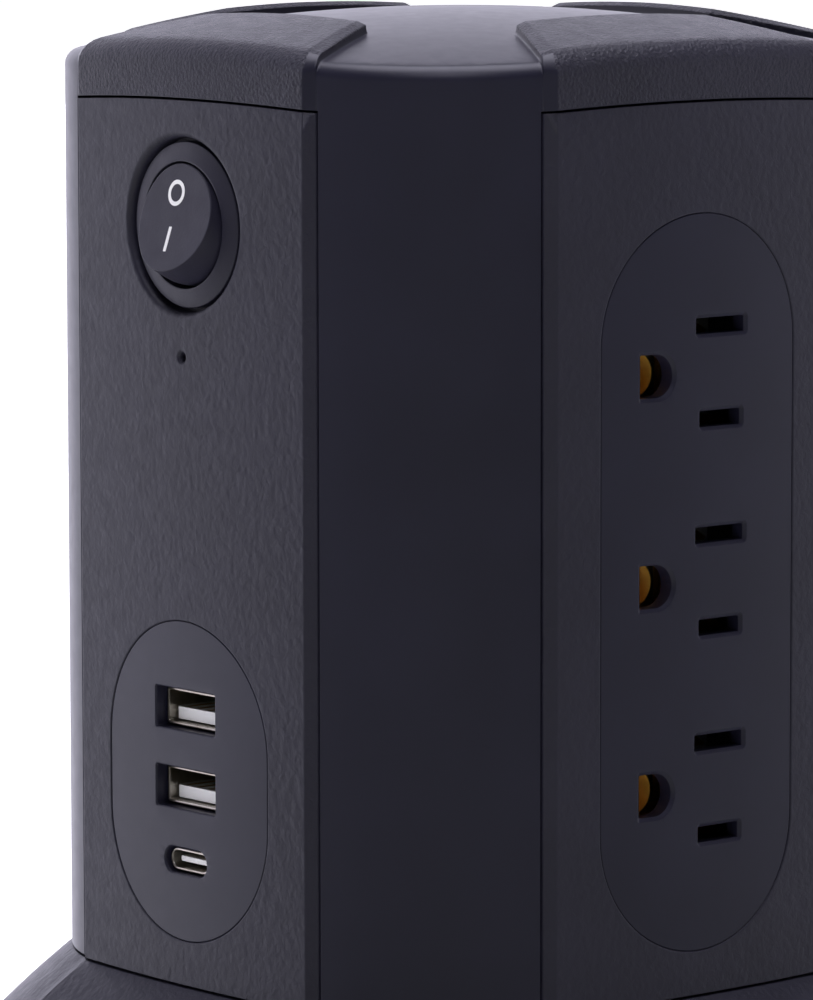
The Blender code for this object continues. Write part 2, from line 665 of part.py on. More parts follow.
def contact_strips():
    """The line, neutral and ground strips of one side, each with three contacts."""
    low, high = 0.0340, 0.1350
    strips = {"neutral": (-0.0025, 0.0001, -0.0025, 0.0065, BLADE_OFFSET),
              "line": (0.0075, 0.0101, 0.0011, 0.0101, -BLADE_OFFSET)}
    for name, (bar_low, bar_high, u_low, u_high, offset) in strips.items():
        strip = box((bar_low, -STRIP_DEPTH - 0.0012, low), (bar_high, -STRIP_DEPTH, high))
        for z in outlet_heights():
            join(strip, fork(z + offset, u_low, u_high))
        for side in OUTLET_SIDES:
            part(f"contact_{name}_{side}", strip, "brass", side=side)
        bpy.data.objects.remove(strip)
    strip = box((GROUND_U - 0.0025, -STRIP_DEPTH - 0.0008, low), (GROUND_U + 0.0025, -STRIP_DEPTH, high))
    for z in outlet_heights():
        join(strip, disc(SLEEVE_RADIUS, -SLEEVE_FRONT, -STRIP_DEPTH - 0.0004, "Y", (GROUND_U, z), 16))
        cut(strip, disc(SLEEVE_BORE, -SLEEVE_FRONT - 0.001, -STRIP_DEPTH - 0.0013, "Y", (GROUND_U, z), 16))
    for side in OUTLET_SIDES:
        part(f"contact_ground_{side}", strip, "brass", side=side)
    bpy.data.objects.remove(strip)


# ---- USB ports ----------------------------------------------------------------------------------
def usb_ports():
    holes = [rectangle(*USB_A_MOUTH, (0, z)) for z in USB_A_HEIGHTS.values()]
    holes.append(rounded(*USB_C_MOUTH, USB_C_MOUTH[1] / 2 - 1e-5, (0, USB_C_Z), 4))
    single("usb_face", insert(USB_STADIUM, holes, USB_MODULE, 0.0400), "satin_plastic")
    board = box((-0.0180, -USB_BOARD_FRONT, 0.0350), (0.0180, -USB_BOARD_FRONT + 0.0016, 0.0780))
    single("usb_board", board, "circuit_board")

    rear = -USB_BOARD_FRONT - 0.0004
    width, height = (size - 2 * CLEARANCE for size in USB_A_MOUTH)
    tongue_width, tongue_height = USB_A_TONGUE
    for place, z in USB_A_HEIGHTS.items():
        inside = rounded(width - 2 * USB_A_SHEET, height - 2 * USB_A_SHEET, 0.0002, (0, z), 2)
        sleeve = prism(rounded(width, height, 0.0004, (0, z), 2), -USB_A_FRONT, rear, "Y", [inside])
        single(f"usb_a_shell_{place}", sleeve, "steel")
        tongue = box((-tongue_width / 2, -USB_A_FRONT + USB_TONGUE_SET_BACK, z - tongue_height),
                     (tongue_width / 2, rear, z))
        single(f"usb_a_tongue_{place}", tongue, "white_plastic")

    width, height = (size - 2 * CLEARANCE for size in USB_C_MOUTH)
    inner_width, inner_height = width - 2 * USB_C_SHEET, height - 2 * USB_C_SHEET
    sleeve = prism(rounded(width, height, height / 2 - 1e-5, (0, USB_C_Z), 5), -USB_C_FRONT, rear, "Y",
                   [rounded(inner_width, inner_height, inner_height / 2 - 1e-5, (0, USB_C_Z), 5)])
    single("usb_c_shell", sleeve, "steel")
    tongue_width, tongue_height = USB_C_TONGUE
    tongue = box((-tongue_width / 2, -USB_C_FRONT + USB_TONGUE_SET_BACK / 2, USB_C_Z - tongue_height / 2),
                 (tongue_width / 2, rear, USB_C_Z + tongue_height / 2))
    single("usb_c_tongue", tongue, "white_plastic")


# ---- rocker switch ------------------------------------------------------------------------------
def switch_body():
    """The bezel and the barrel behind it, with slits for the two terminals."""
    flange_rear = SWITCH_RECESS_FLOOR + CLEARANCE
    body = turned([(0, BEZEL_RIM), (SWITCH_BORE, BEZEL_RIM), (BEZEL_RADIUS, BEZEL_EDGE),
                   (BEZEL_RADIUS, flange_rear), (BARREL_RADIUS, flange_rear),
                   (BARREL_RADIUS, BARREL_REAR), (0, BARREL_REAR)], 32, facing_front(0, SWITCH_Z))
    cut(body, disc(SWITCH_BORE, -0.060, -BARREL_REAR - 0.0016, "Y", (0, SWITCH_Z), 32))
    for z in (SWITCH_Z, SWITCH_Z + LOAD_TERMINAL_RISE):
        cut(body, box((-0.0027, -BARREL_REAR - 0.003, z - 0.0007),
                      (0.0027, -BARREL_REAR + 0.002, z + 0.0007)))
    single("switch_body", body, "switch_plastic")


def switch_rocker():
    """Round button with a dished face and a foot behind it, drawn about its pivot with the face to -Y."""
    profile = [(0, 0.0060), (0.0074, 0.0060), (0.0076, 0.0043), (0.0080, 0.0026), (0.0084, 0.0006),
               (0.0084, -0.0010), (0.0080, -0.0024), (0, -0.0024)]
    rocker = turned(profile, 32, facing_front(0, 0))
    dish = disc(ROCKER_DISH_RADIUS, -0.02, 0.02, "X", (-ROCKER_DISH_RADIUS - ROCKER_DISH_FLOOR, 0), 160)
    cut(rocker, dish)
    join(rocker, box((-0.0030, 0.0010, -0.0028), (0.0030, 0.0062, 0.0028)))
    cut(rocker, disc(0.0019, 0.0015, 0.0080, "Y", sides=16))
    place = {"location": (0, -ROCKER_PIVOT_DEPTH, SWITCH_Z), "rotation": (ROCKER_OFF_TILT, 0, 0)}
    single("switch_rocker", rocker, "switch_plastic", **place)

    plunger = turned([(0, 0.0043), (0.0009, 0.0043), (0.0009, 0.0028), (0.0016, 0.0028), (0.0016, 0.0012),
                      (0.0008, 0), (0, 0)], 16, facing_front(0, 0, -0.0099))
    single("switch_plunger", plunger, "white_plastic", **place)

    turns, per_turn, radius = 3, 8, 0.0014
    curve = bpy.data.curves.new("spring", "CURVE")
    curve.dimensions = "3D"
    curve.bevel_depth = 0.00018
    curve.bevel_resolution = 1
    curve.use_fill_caps = True
    spline = curve.splines.new("POLY")
    count = int(turns * per_turn) + 1
    spline.points.add(count - 1)
    for i, point in enumerate(spline.points):
        angle = 2 * math.pi * i / per_turn
        along = 0.0020 + 0.0046 * i / (count - 1)
        point.co = (radius * math.cos(angle), along, radius * math.sin(angle), 1)
    coil = tool_object("coil", curve)
    spring = tool_object("spring", clean(evaluated_mesh(coil)))
    bpy.data.objects.remove(coil)
    single("switch_spring", spring, "steel", **place)


def switch_contacts():
    """The see-saw contact, drawn about its pivot, and the two terminals it joins."""
    arm = box((-0.0022, -0.0005, -0.0066), (0.0022, 0.0003, 0.0066))
    join(arm, disc(0.0012, 0.0001, 0.0009, "Y", (0, 0.0053), 12))
    single("switch_contact_arm", arm, "brass", location=(0, -ARM_PIVOT_DEPTH, SWITCH_Z),
           rotation=(ARM_OFF_TILT, 0, 0))
    for name, z, front in (("line", SWITCH_Z, -0.0364), ("load", SWITCH_Z + LOAD_TERMINAL_RISE, -0.0350)):
        blade = box((-0.0024, front, z - 0.0004), (0.0024, -0.0215, z + 0.0004))
        single(f"switch_terminal_{name}", blade, "brass")


def indicator():
    """The LED behind the panel's small hole, and the clear pipe in front of it."""
    place = facing_front(0, LED_Z)
    pipe = turned([(0, 0.0490), (0.00038, 0.0490), (0.00038, 0.0477), (0.0020, 0.0477), (0.0020, 0.0462),
                   (0, 0.0462)], 16, place)
    single("indicator_light_pipe", pipe, "clear_lens")
    led = turned([(0, 0.0458), (0.0008, 0.0456), (0.0014, 0.0447), (0.0015, 0.0420), (0.0019, 0.0420),
                  (0.0019, 0.0411), (0, 0.0411)], 16, place)
    single("indicator_led", led, "white_plastic")


# ---- power pieces inside the tower --------------------------------------------------------------
def power_board():
    single("surge_board", box((-0.0240, 0.0060, 0.0400), (0.0240, 0.0076, 0.1300)), "circuit_board")
    shape = disc(0.0068, 0.0100, 0.0142, "Y", (0, 0), 20)
    for u in (-0.0036, 0.0036):
        join(shape, disc(0.0004, 0.0079, 0.0110, "Y", (u, -0.0030), 8))
    for number, z in enumerate((0.062, 0.086, 0.110), 1):
        part(f"varistor_{number}", shape, "varistor_blue", location=(-0.006, 0, z))
    bpy.data.objects.remove(shape)
    core = box((-0.0130, -0.0100, 0.0560), (0.0130, 0.0057, 0.0620))
    join(core, box((-0.0130, -0.0100, 0.0780), (0.0130, 0.0057, 0.0840)),
         disc(0.0075, 0.0600, 0.0800, centre=(0, -0.0020), sides=20))
    single("usb_transformer", core, "inner_plastic")


def breaker_and_gland():
    centre = (BREAKER_U, PORT_Z)
    body = box((BREAKER_U - 0.0090, 0.0280, 0.0066), (BREAKER_U + 0.0090, 0.0500, 0.0216))
    join(body, disc(0.0052, 0.0495, PORT_FACE - 0.0020, "Y", centre, 24))
    cut(body, disc(0.0037, 0.0440, 0.0700, "Y", centre, 24))
    for offset in (-0.0050, 0.0050):
        join(body, box((BREAKER_U + offset - 0.0004, 0.0210, 0.0100),
                       (BREAKER_U + offset + 0.0004, 0.0285, 0.0160)))
    single("breaker_body", body, "inner_plastic")
    button = turned([(0, 0.0060), (0.0028, 0.0060), (0.0034, 0.0054), (0.0034, -0.0100), (0, -0.0100)], 24,
                    Matrix.Rotation(math.radians(-90), 4, "X"))
    single("reset_button", button, "switch_plastic", location=(BREAKER_U, PORT_FACE - 0.0062, PORT_Z))
    place = Matrix.Translation((GLAND_U, 0, PORT_Z)) @ Matrix.Rotation(math.radians(-90), 4, "X")
    gland = turned([(0.0040, PORT_FACE), (0.0063, PORT_FACE), (0.0063, PORT_FACE - 0.0015),
                    (0.0055, PORT_FACE - 0.0015), (0.0055, 0.0500), (0.0040, 0.0500),
                    (0.0040, PORT_FACE)], 20, place)
    single("cord_gland", gland, "rubber")


def wire(name, route, radius, finish):
    """An insulated wire along a smooth curve through the route's points."""
    points = []
    ends = [route[0], *route, route[-1]]
    for a, b, c, d in zip(ends, ends[1:], ends[2:], ends[3:]):
        for step in range(3):
            t = step / 3
            points.append([0.5 * (2 * q + (r - p) * t + (2 * p - 5 * q + 4 * r - s) * t * t
                                  + (3 * q - p - 3 * r + s) * t ** 3) for p, q, r, s in zip(a, b, c, d)])
    points.append(route[-1])
    curve = bpy.data.curves.new(name, "CURVE")
    curve.dimensions = "3D"
    curve.bevel_depth = radius
    curve.bevel_resolution = 1
    curve.use_fill_caps = True
    spline = curve.splines.new("POLY")
    spline.points.add(len(points) - 1)
    for point, co in zip(spline.points, points):
        point.co = (*co, 1)
    tube = tool_object("tube", curve)
    mesh = clean(evaluated_mesh(tube))
    bpy.data.objects.remove(tube)
    single(name, tool_object("wire", mesh), finish)


def wires():
    load_z = SWITCH_Z + LOAD_TERMINAL_RISE
    feed = [(BREAKER_U - 0.0050, 0.0205, 0.0130), (0.0200, 0.0140, 0.0140), (0.0262, 0.0120, 0.0300),
            (0.0262, 0.0100, 0.0800), (0.0262, -0.0010, 0.1200), (0.0190, -0.0110, 0.1310),
            (0.0060, -0.0140, 0.1335), (0, -0.0180, SWITCH_Z), (0, -0.0208, SWITCH_Z)]
    load = [(0, -0.0208, load_z), (0, -0.0185, load_z), (-0.0040, -0.0130, 0.1425),
            (-0.0100, -0.0040, 0.1430), (-0.0120, 0.0030, 0.1380), (-0.0120, 0.0066, 0.1308)]
    supply = [(0.0120, 0.0054, 0.0480), (0.0120, -0.0080, 0.0470), (0.0120, -0.0220, 0.0500),
              (0.0120, -0.0324, 0.0520)]
    wire("wire_breaker_to_switch", feed, 0.0012, "wire_black")
    wire("wire_switch_to_board", load, 0.0012, "wire_black")
    wire("wire_usb_supply", supply, 0.0008, "wire_white")


def main():
    tower_housing()
    base_shell()
    bottom_plate()
    feet_and_screws()
    switch_panel()
    outlet_panels()
    receptacle_modules()
    contact_strips()
    usb_ports()
    switch_body()
    switch_rocker()
    switch_contacts()
    indicator()
    power_board()
    breaker_and_gland()
    wires()


main()
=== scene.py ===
"""Looks of a tower power strip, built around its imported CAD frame.

Metres, in the frame's own axes: +Z up, the front side along -Y. The CAD settles where everything
is; this script replaces each visible CAD solid with a finely made piece of the same size, and gives
every piece a procedural material. A side piece is drawn for the front side and turned about Z:
"u" is the distance to the right of the side's middle, "v" the height, and "depth" the distance out
from the tower's axis.
"""
import json
import math

import bmesh
import bpy
import numpy as np
from mathutils import Matrix, Vector
from mathutils.geometry import delaunay_2d_cdt


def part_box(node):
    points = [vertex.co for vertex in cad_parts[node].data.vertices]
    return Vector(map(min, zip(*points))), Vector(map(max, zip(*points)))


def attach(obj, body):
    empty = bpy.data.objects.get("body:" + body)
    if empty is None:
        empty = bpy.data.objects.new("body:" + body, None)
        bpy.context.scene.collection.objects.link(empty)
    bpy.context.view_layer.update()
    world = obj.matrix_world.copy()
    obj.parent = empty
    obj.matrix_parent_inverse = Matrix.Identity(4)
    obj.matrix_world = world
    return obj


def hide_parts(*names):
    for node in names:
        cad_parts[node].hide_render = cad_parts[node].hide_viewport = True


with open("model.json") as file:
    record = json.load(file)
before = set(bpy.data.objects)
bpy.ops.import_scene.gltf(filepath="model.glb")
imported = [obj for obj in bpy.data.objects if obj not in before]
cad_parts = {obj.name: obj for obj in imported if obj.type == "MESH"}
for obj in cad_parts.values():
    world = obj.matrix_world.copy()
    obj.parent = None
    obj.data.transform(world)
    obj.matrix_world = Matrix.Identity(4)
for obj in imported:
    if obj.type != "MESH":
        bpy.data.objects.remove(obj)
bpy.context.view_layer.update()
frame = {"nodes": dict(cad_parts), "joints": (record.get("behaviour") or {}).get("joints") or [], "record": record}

MM = 0.001
SIDES = {"front": 0, "right": 1, "back": 2, "left": 3}
OUTLET_SIDES = ("right", "back", "left")

# ---- places taken from the frame ----------------------------------------------------------------
GAP = 0.3 * MM                                      # what the CAD leaves between touching pieces
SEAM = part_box("tower_housing")[0].z - GAP           # top of the base
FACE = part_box("tower_housing")[1].x                 # depth of a side's middle
PANEL_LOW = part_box("outlet_panel_right")[0].z
PLATE_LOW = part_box("bottom_plate")[0].z
SWITCH_REAR = -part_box("switch_body")[1].y
BEZEL_RADIUS = (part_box("switch_body")[1].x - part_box("switch_body")[0].x) / 2
MODULE_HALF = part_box("usb_face")[1].x
PIVOTS = {joint["name"]: Vector(joint["pos_m"]) for joint in frame["joints"] if "pos_m" in joint}

# ---- shape of the tower -------------------------------------------------------------------------
CROWN_RADIUS = 240 * MM         # the sides are slightly convex
FACE_HALF = 24.9 * MM           # half width of a side's face, inside its edge chamfers
CORNER_HALF = 26.5 * MM
CORNER_DEPTH = 47.85 * MM
COLUMN_SAGITTA = 3.77 * MM      # how far a corner column bows out over its chord
COLUMN_CHORD = (CORNER_DEPTH - CORNER_HALF) * math.sqrt(2)
COLUMN_RADIUS = ((COLUMN_CHORD / 2) ** 2 + COLUMN_SAGITTA ** 2) / (2 * COLUMN_SAGITTA)
COLUMN_CENTRE = (CORNER_HALF + CORNER_DEPTH) / 2 - (COLUMN_RADIUS - COLUMN_SAGITTA) * math.sqrt(0.5)
COLUMN_REACH = math.degrees(math.asin(COLUMN_CHORD / 2 / COLUMN_RADIUS))
WALL = 2.2 * MM
PANEL_TOP = SEAM + 122.35 * MM
PANEL_ARCH = 0.8 * MM

DOME_TOP = SEAM + 134.42 * MM
DOME_RADIUS = 254 * MM
PAD_INNER = 31.5 * MM           # the four raised pads on the dome
PAD_INNER_HALF = 17.2 * MM
PAD_RISE = 1.92 * MM
PAD_RISE_LOSS = 0.033           # the pads thin out towards the sides
PAD_FRONT_ROUND = 2.7 * MM
COLUMN_ROUND = 1.8 * MM

STADIUM_HALF = 17.65 * MM
OUTLET_STADIUM = (SEAM + 6.4 * MM, SEAM + 107.9 * MM)
USB_STADIUM = (SEAM + 6.5 * MM, SEAM + 51.3 * MM)


def face_depth(u, v=0):
    """Depth of a side's convex face."""
    return FACE - u * u / (2 * CROWN_RADIUS)


def panel_depth(u, v=0):
    """The same, with the chamfers along the two upright edges."""
    past = (abs(u) - FACE_HALF) / (CORNER_HALF - FACE_HALF)
    edge = face_depth(FACE_HALF)
    return face_depth(u) if past <= 0 else edge + past * (CORNER_DEPTH - edge)


def panel_top(u, half=CORNER_HALF):
    """Height of the arched seam over a side panel."""
    return PANEL_TOP + PANEL_ARCH * max(0, 1 - (u / half) ** 2)


def lowered(height, drop):
    """A height function, with a drop taken off."""
    return lambda a, b: height(a, b) - drop


def middle_of(node):
    """Height of the middle of a CAD solid."""
    low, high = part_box(node)
    return (low.z + high.z) / 2


SWITCH_V, LED_V = middle_of("switch_body"), middle_of("indicator_led")


# ---- meshes made of rings, strips and patches ---------------------------------------------------
def crossings(points, segments):
    """For each point, whether it lies inside the closed loops that the segments make."""
    inside = np.zeros(len(points), bool)
    for (x1, y1), (x2, y2) in segments:
        spans = (y1 > points[:, 1]) != (y2 > points[:, 1])
        if y1 != y2:
            at = (x2 - x1) * (points[:, 1] - y1) / (y2 - y1) + x1
            inside ^= spans & (points[:, 0] < at)
    return inside


def loop_segments(loops):
    return [(a, b) for loop in loops for a, b in zip(loop, loop[1:] + loop[:1])]


def grid(loops, fences, pitch_a, pitch_b, margin):
    """Free points inside a region, kept clear of its edges and of the fences."""
    outer = np.array(loops[0])
    low, high = outer.min(0), outer.max(0)
    a = np.linspace(low[0], high[0], max(2, round((high[0] - low[0]) / pitch_a)) + 1)
    b = np.linspace(low[1], high[1], max(2, round((high[1] - low[1]) / pitch_b)) + 1)
    points = np.stack(np.meshgrid(a, b), -1).reshape(-1, 2)
    segments = loop_segments(loops)
    keep = crossings(points, segments)
    for start, end in segments + fences:
        start, along = np.array(start), np.array(end) - np.array(start)
        t = np.clip((points - start) @ along / max(along @ along, 1e-18), 0, 1)
        keep &= np.linalg.norm(points - start - t[:, None] * along, axis=1) > margin
    return [tuple(p) for p in points[keep]]


def bevel(bm, edges, width, steps=2):
    bmesh.ops.bevel(bm, geom=edges, offset=width, segments=steps, profile=0.5, affect="EDGES")


def mesh_from(bm, place=None):
    if place is not None:
        bm.transform(place)
    mesh = bpy.data.meshes.new("part")
    bm.to_mesh(mesh)
    bm.free()
    return mesh


class Shell:
    """A mesh built from rings of points. A point is (a, b) in a drawing plane, at a height off it."""

    def __init__(self, place):
        self.bm = bmesh.new()
        self.place = place
        self.flat = {}
        self.soft = []

    def ring(self, loop, height):
        verts = []
        for a, b in loop:
            vert = self.bm.verts.new(self.place(a, b, height(a, b) if callable(height) else height))
            self.flat[vert] = (float(a), float(b))
            verts.append(vert)
        return verts

    def strip(self, first, second, closed=True):
        for i in range(len(first) if closed else len(first) - 1):
            j = (i + 1) % len(first)
            self.bm.faces.new((first[i], first[j], second[j], second[i]))

    def sweep(self, rings):
        """Join each ring to the next, and return the last."""
        for first, second in zip(rings, rings[1:]):
            self.strip(first, second)
        return rings[-1]

    def edge(self, contour, profile, height, sign=1):
        """Rings from a wall to a face, as (offset, drop) pairs. Returns the first and the last."""
        rings = [self.ring(contour(sign * offset), lowered(height, drop)) for offset, drop in profile]
        self.sweep(rings)
        return rings[0], rings[-1]

    def patch(self, loops, height=None, lines=(), pitch=None, margin=0.0):
        """Fill the area between a loop of vertices and the loops inside it."""
        outlines = [[self.flat[v] for v in loop] for loop in loops]
        fences = [(self.flat[p], self.flat[q]) for line in lines for p, q in zip(line, line[1:])]
        free = self.ring(grid(outlines, fences, *pitch, margin), height) if pitch else []
        verts = [v for loop in loops for v in loop]
        verts += [v for line in lines for v in line if v not in verts] + free
        index = {v: i for i, v in enumerate(verts)}
        edges = [(index[a], index[b]) for loop in loops for a, b in zip(loop, loop[1:] + loop[:1])]
        edges += [(index[a], index[b]) for line in lines for a, b in zip(line, line[1:])]
        flat = [Vector(self.flat[v]) / MM for v in verts]
        _, _, triangles, source, _, _ = delaunay_2d_cdt(flat, edges, [], 0, 1e-6)
        corners = [[source[i][0] for i in triangle] for triangle in triangles]
        centres = np.array([sum((flat[i] for i in c), Vector((0, 0))) / 3 for c in corners])
        segments = loop_segments([[(a / MM, b / MM) for a, b in outline] for outline in outlines])
        for chosen, corner in zip(crossings(centres, segments), corners):
            if chosen and len(set(corner)) == 3:
                self.bm.faces.new([verts[i] for i in corner])

    def soften(self, lines, width, steps=2):
        """Round the edges along lines of vertices, once everything else is in place."""
        self.soft.append((lines, width, steps))

    def mesh(self, turn=0.0):
        bmesh.ops.delete(self.bm, geom=[v for v in self.bm.verts if not v.link_faces], context="VERTS")
        bmesh.ops.recalc_face_normals(self.bm, faces=self.bm.faces)
        groups = {}
        for lines, width, steps in self.soft:
            edges = [self.bm.edges.get(pair) for line in lines for pair in zip(line, line[1:])]
            groups.setdefault((width, steps), []).extend(e for e in edges if e)
        for (width, steps), edges in groups.items():
            bevel(self.bm, [e for e in edges if e.is_valid], width, steps)
        return mesh_from(self.bm, Matrix.Rotation(turn, 4, "Z"))


def front_place(u, v, depth):
    return (u, -depth, v)


def plan_place(x, y, z):
    return (x, y, z)


def rounding(radius, steps=4):
    """A quarter-round edge as (offset, drop) pairs, with a last ring that keeps the face flat."""
    angles = [math.radians(90 * i / steps) for i in range(steps + 1)]
    return [(radius * (1 - math.cos(a)), radius * (1 - math.sin(a))) for a in angles] + [(1.3 * radius, 0)]


def chamfer(width, drop, soft=0.06 * MM):
    """A chamfer with slightly softened corners."""
    return [(0, drop + soft), (0.2 * soft, drop - 0.2 * soft), (soft, drop * (1 - soft / width)),
            (width - soft, drop * soft / width), (width, 0.2 * soft), (width + 1.2 * soft, 0)]


# ---- outlines -----------------------------------------------------------------------------------
def arc(centre, radius, start, end, steps):
    angles = [math.radians(start + (end - start) * i / steps) for i in range(steps + 1)]
    return [(centre[0] + radius * math.cos(a), centre[1] + radius * math.sin(a)) for a in angles]


def polar(radius, degrees, centre=0.0):
    """A point at an angle round (centre, -centre)."""
    angle = math.radians(degrees)
    return (centre + radius * math.cos(angle), -centre + radius * math.sin(angle))


def circle(radius, centre=(0, 0), steps=64):
    return arc(centre, radius, 0, 360, steps)[:-1]


def stadium(low, high, grow=0.0):
    """An upright slot with half-round ends, and points down its straight sides."""
    radius = STADIUM_HALF + grow
    top, bottom = high - STADIUM_HALF, low + STADIUM_HALF
    straight = [bottom + (top - bottom) * i / 8 for i in range(1, 8)]
    return (arc((0, top), radius, 0, 180, 40) + [(-radius, v) for v in reversed(straight)]
            + arc((0, bottom), radius, 180, 360, 40) + [(radius, v) for v in straight])


def rounded(width, height, radius, centre=(0, 0), grow=0.0, steps=5):
    """A rectangle with round corners."""
    a, b, r = width / 2 + grow, height / 2 + grow, radius + grow
    points = []
    for corner, (sx, sy) in enumerate(((1, 1), (-1, 1), (-1, -1), (1, -1))):
        middle = (centre[0] + sx * (a - r), centre[1] + sy * (b - r))
        points += arc(middle, r, 90 * corner, 90 * corner + 90, steps)
    return points


def turned(x, y, quarters):
    """A point of the plan after some quarter turns."""
    c, s = round(math.cos(quarters * math.pi / 2)), round(math.sin(quarters * math.pi / 2))
    return (c * x - s * y, s * x + c * y)


def quarter_turns(points):
    """The same stretch of outline on all four sides."""
    return [turned(x, y, quarters) for quarters in range(4) for x, y in points]


def column_arc(steps):
    """The front-right column's outside, from the front panel round to the right-hand one."""
    return arc((COLUMN_CENTRE, -COLUMN_CENTRE), COLUMN_RADIUS, -45 - COLUMN_REACH, -45 + COLUMN_REACH, steps)


# ---- materials ----------------------------------------------------------------------------------
CHARCOAL = (0.0165, 0.0158, 0.0285)
SATIN = (0.0118, 0.0115, 0.0245)


class Recipe:
    """A procedural material, built from patterns in the piece's own space."""

    def __init__(self, name, roughness, metallic=0.0, specular=0.5):
        self.material = bpy.data.materials.new(name)
        self.material.use_nodes = True
        self.tree = self.material.node_tree
        self.shader = self.tree.nodes["Principled BSDF"]
        self.shader.inputs["Roughness"].default_value = roughness
        self.shader.inputs["Metallic"].default_value = metallic
        self.shader.inputs["Specular IOR Level"].default_value = specular
        self.space = self.node("ShaderNodeTexCoord").outputs["Object"]
        self.normal = None

    def node(self, kind, values=(), **settings):
        made = self.tree.nodes.new(kind)
        for key, value in settings.items():
            setattr(made, key, value)
        for key, value in dict(values).items():
            if isinstance(value, bpy.types.NodeSocket):
                self.tree.links.new(value, made.inputs[key])
            else:
                made.inputs[key].default_value = value
        return made

    def stretched(self, scale):
        """The piece's space, drawn out along some axes."""
        return self.node("ShaderNodeMapping", {"Vector": self.space, "Scale": scale}).outputs["Vector"]

    def noise(self, scale, detail=2.0, rough=0.5, space=None, distortion=0.0):
        values = {"Vector": space or self.space, "Scale": scale, "Detail": detail,
                  "Roughness": rough, "Distortion": distortion}
        return self.node("ShaderNodeTexNoise", values).outputs["Fac"]

    def cells(self, scale, feature="F1", space=None):
        values = {"Vector": space or self.space, "Scale": scale}
        return self.node("ShaderNodeTexVoronoi", values, feature=feature).outputs["Distance"]

    def remapped(self, value, low, high, to_low, to_high):
        values = {"Value": value, "From Min": low, "From Max": high, "To Min": to_low, "To Max": to_high}
        return self.node("ShaderNodeMapRange", values).outputs["Result"]

    def colours(self, value, *stops):
        """The base colour, from a pattern and stops of (position, colour)."""
        ramp = self.node("ShaderNodeValToRGB", {"Fac": value})
        elements = ramp.color_ramp.elements
        while len(elements) < len(stops):
            elements.new(0.5)
        for element, (position, colour) in zip(elements, stops):
            element.position = position
            element.color = (*colour, 1)
        self.tree.links.new(ramp.outputs["Color"], self.shader.inputs["Base Color"])
        return self

    def roughened(self, value, low, high, to_low, to_high):
        mapped = self.remapped(value, low, high, to_low, to_high)
        self.tree.links.new(mapped, self.shader.inputs["Roughness"])
        return self

    def bump(self, height, depth, strength=1.0):
        values = {"Height": height, "Distance": depth, "Strength": strength}
        if self.normal:
            values["Normal"] = self.normal
        self.normal = self.node("ShaderNodeBump", values).outputs["Normal"]
        self.tree.links.new(self.normal, self.shader.inputs["Normal"])
        return self


def tone(colour, factor):
    return tuple(c * factor for c in colour)


def moulded(name, colour, roughness, grain=(2600, 0.012), leather=None, mottle=0.10, specular=0.5,
            gloss_change=0.04):
    """Moulded plastic: a fine grain, an optional leathery texture, and soft changes of tone and gloss."""
    made = Recipe(name, roughness, specular=specular)
    soft = made.noise(55, 3.0, 0.55)
    made.colours(soft, (0.30, tone(colour, 1 - mottle)), (0.70, tone(colour, 1 + mottle)))
    made.roughened(made.noise(420, 3.0, 0.6), 0.3, 0.7, roughness - gloss_change, roughness + gloss_change)
    made.bump(made.noise(grain[0], 3.0, 0.6), grain[1] * MM)
    if leather:
        scale, depth = leather
        pebbles = made.cells(scale, "SMOOTH_F1", made.stretched((1, 1, 0.8)))
        creases = made.noise(scale * 0.8, 4.0, 0.65, distortion=0.6)
        made.bump(pebbles, depth * MM)
        made.bump(creases, 1.6 * depth * MM)
    return made


def polished_metal(name, colour, dark, roughness, along=(1, 1, 0.06), metallic=1.0):
    """Drawn or stamped metal: fine lines one way, a faint tarnish, and small dents."""
    made = Recipe(name, roughness, metallic=metallic)
    lines = made.noise(9000, 2.0, 0.6, made.stretched(along))
    stain = made.noise(260, 4.0, 0.6)
    made.colours(stain, (0.25, dark), (0.62, colour))
    made.roughened(lines, 0.3, 0.7, roughness - 0.06, roughness + 0.10)
    made.bump(lines, 0.004 * MM)
    made.bump(made.noise(700, 2.0), 0.010 * MM)
    return made


def circuit_material():
    made = Recipe("solder_mask", 0.42)
    lines = made.cells(420, "DISTANCE_TO_EDGE", made.stretched((1, 0.2, 1)))
    made.colours(lines, (0.02, (0.030, 0.230, 0.095)), (0.07, (0.012, 0.120, 0.050)))
    made.bump(lines, 0.02 * MM)
    made.roughened(made.noise(300, 2.0), 0.3, 0.7, 0.36, 0.48)
    return made


def lens_material():
    made = Recipe("clear_lens", 0.12, specular=0.6)
    made.colours(made.noise(500, 2.0), (0.3, (0.42, 0.060, 0.035)), (0.7, (0.62, 0.090, 0.050)))
    made.bump(made.noise(1500, 2.0), 0.004 * MM)
    made.shader.inputs["Transmission Weight"].default_value = 0.35
    return made


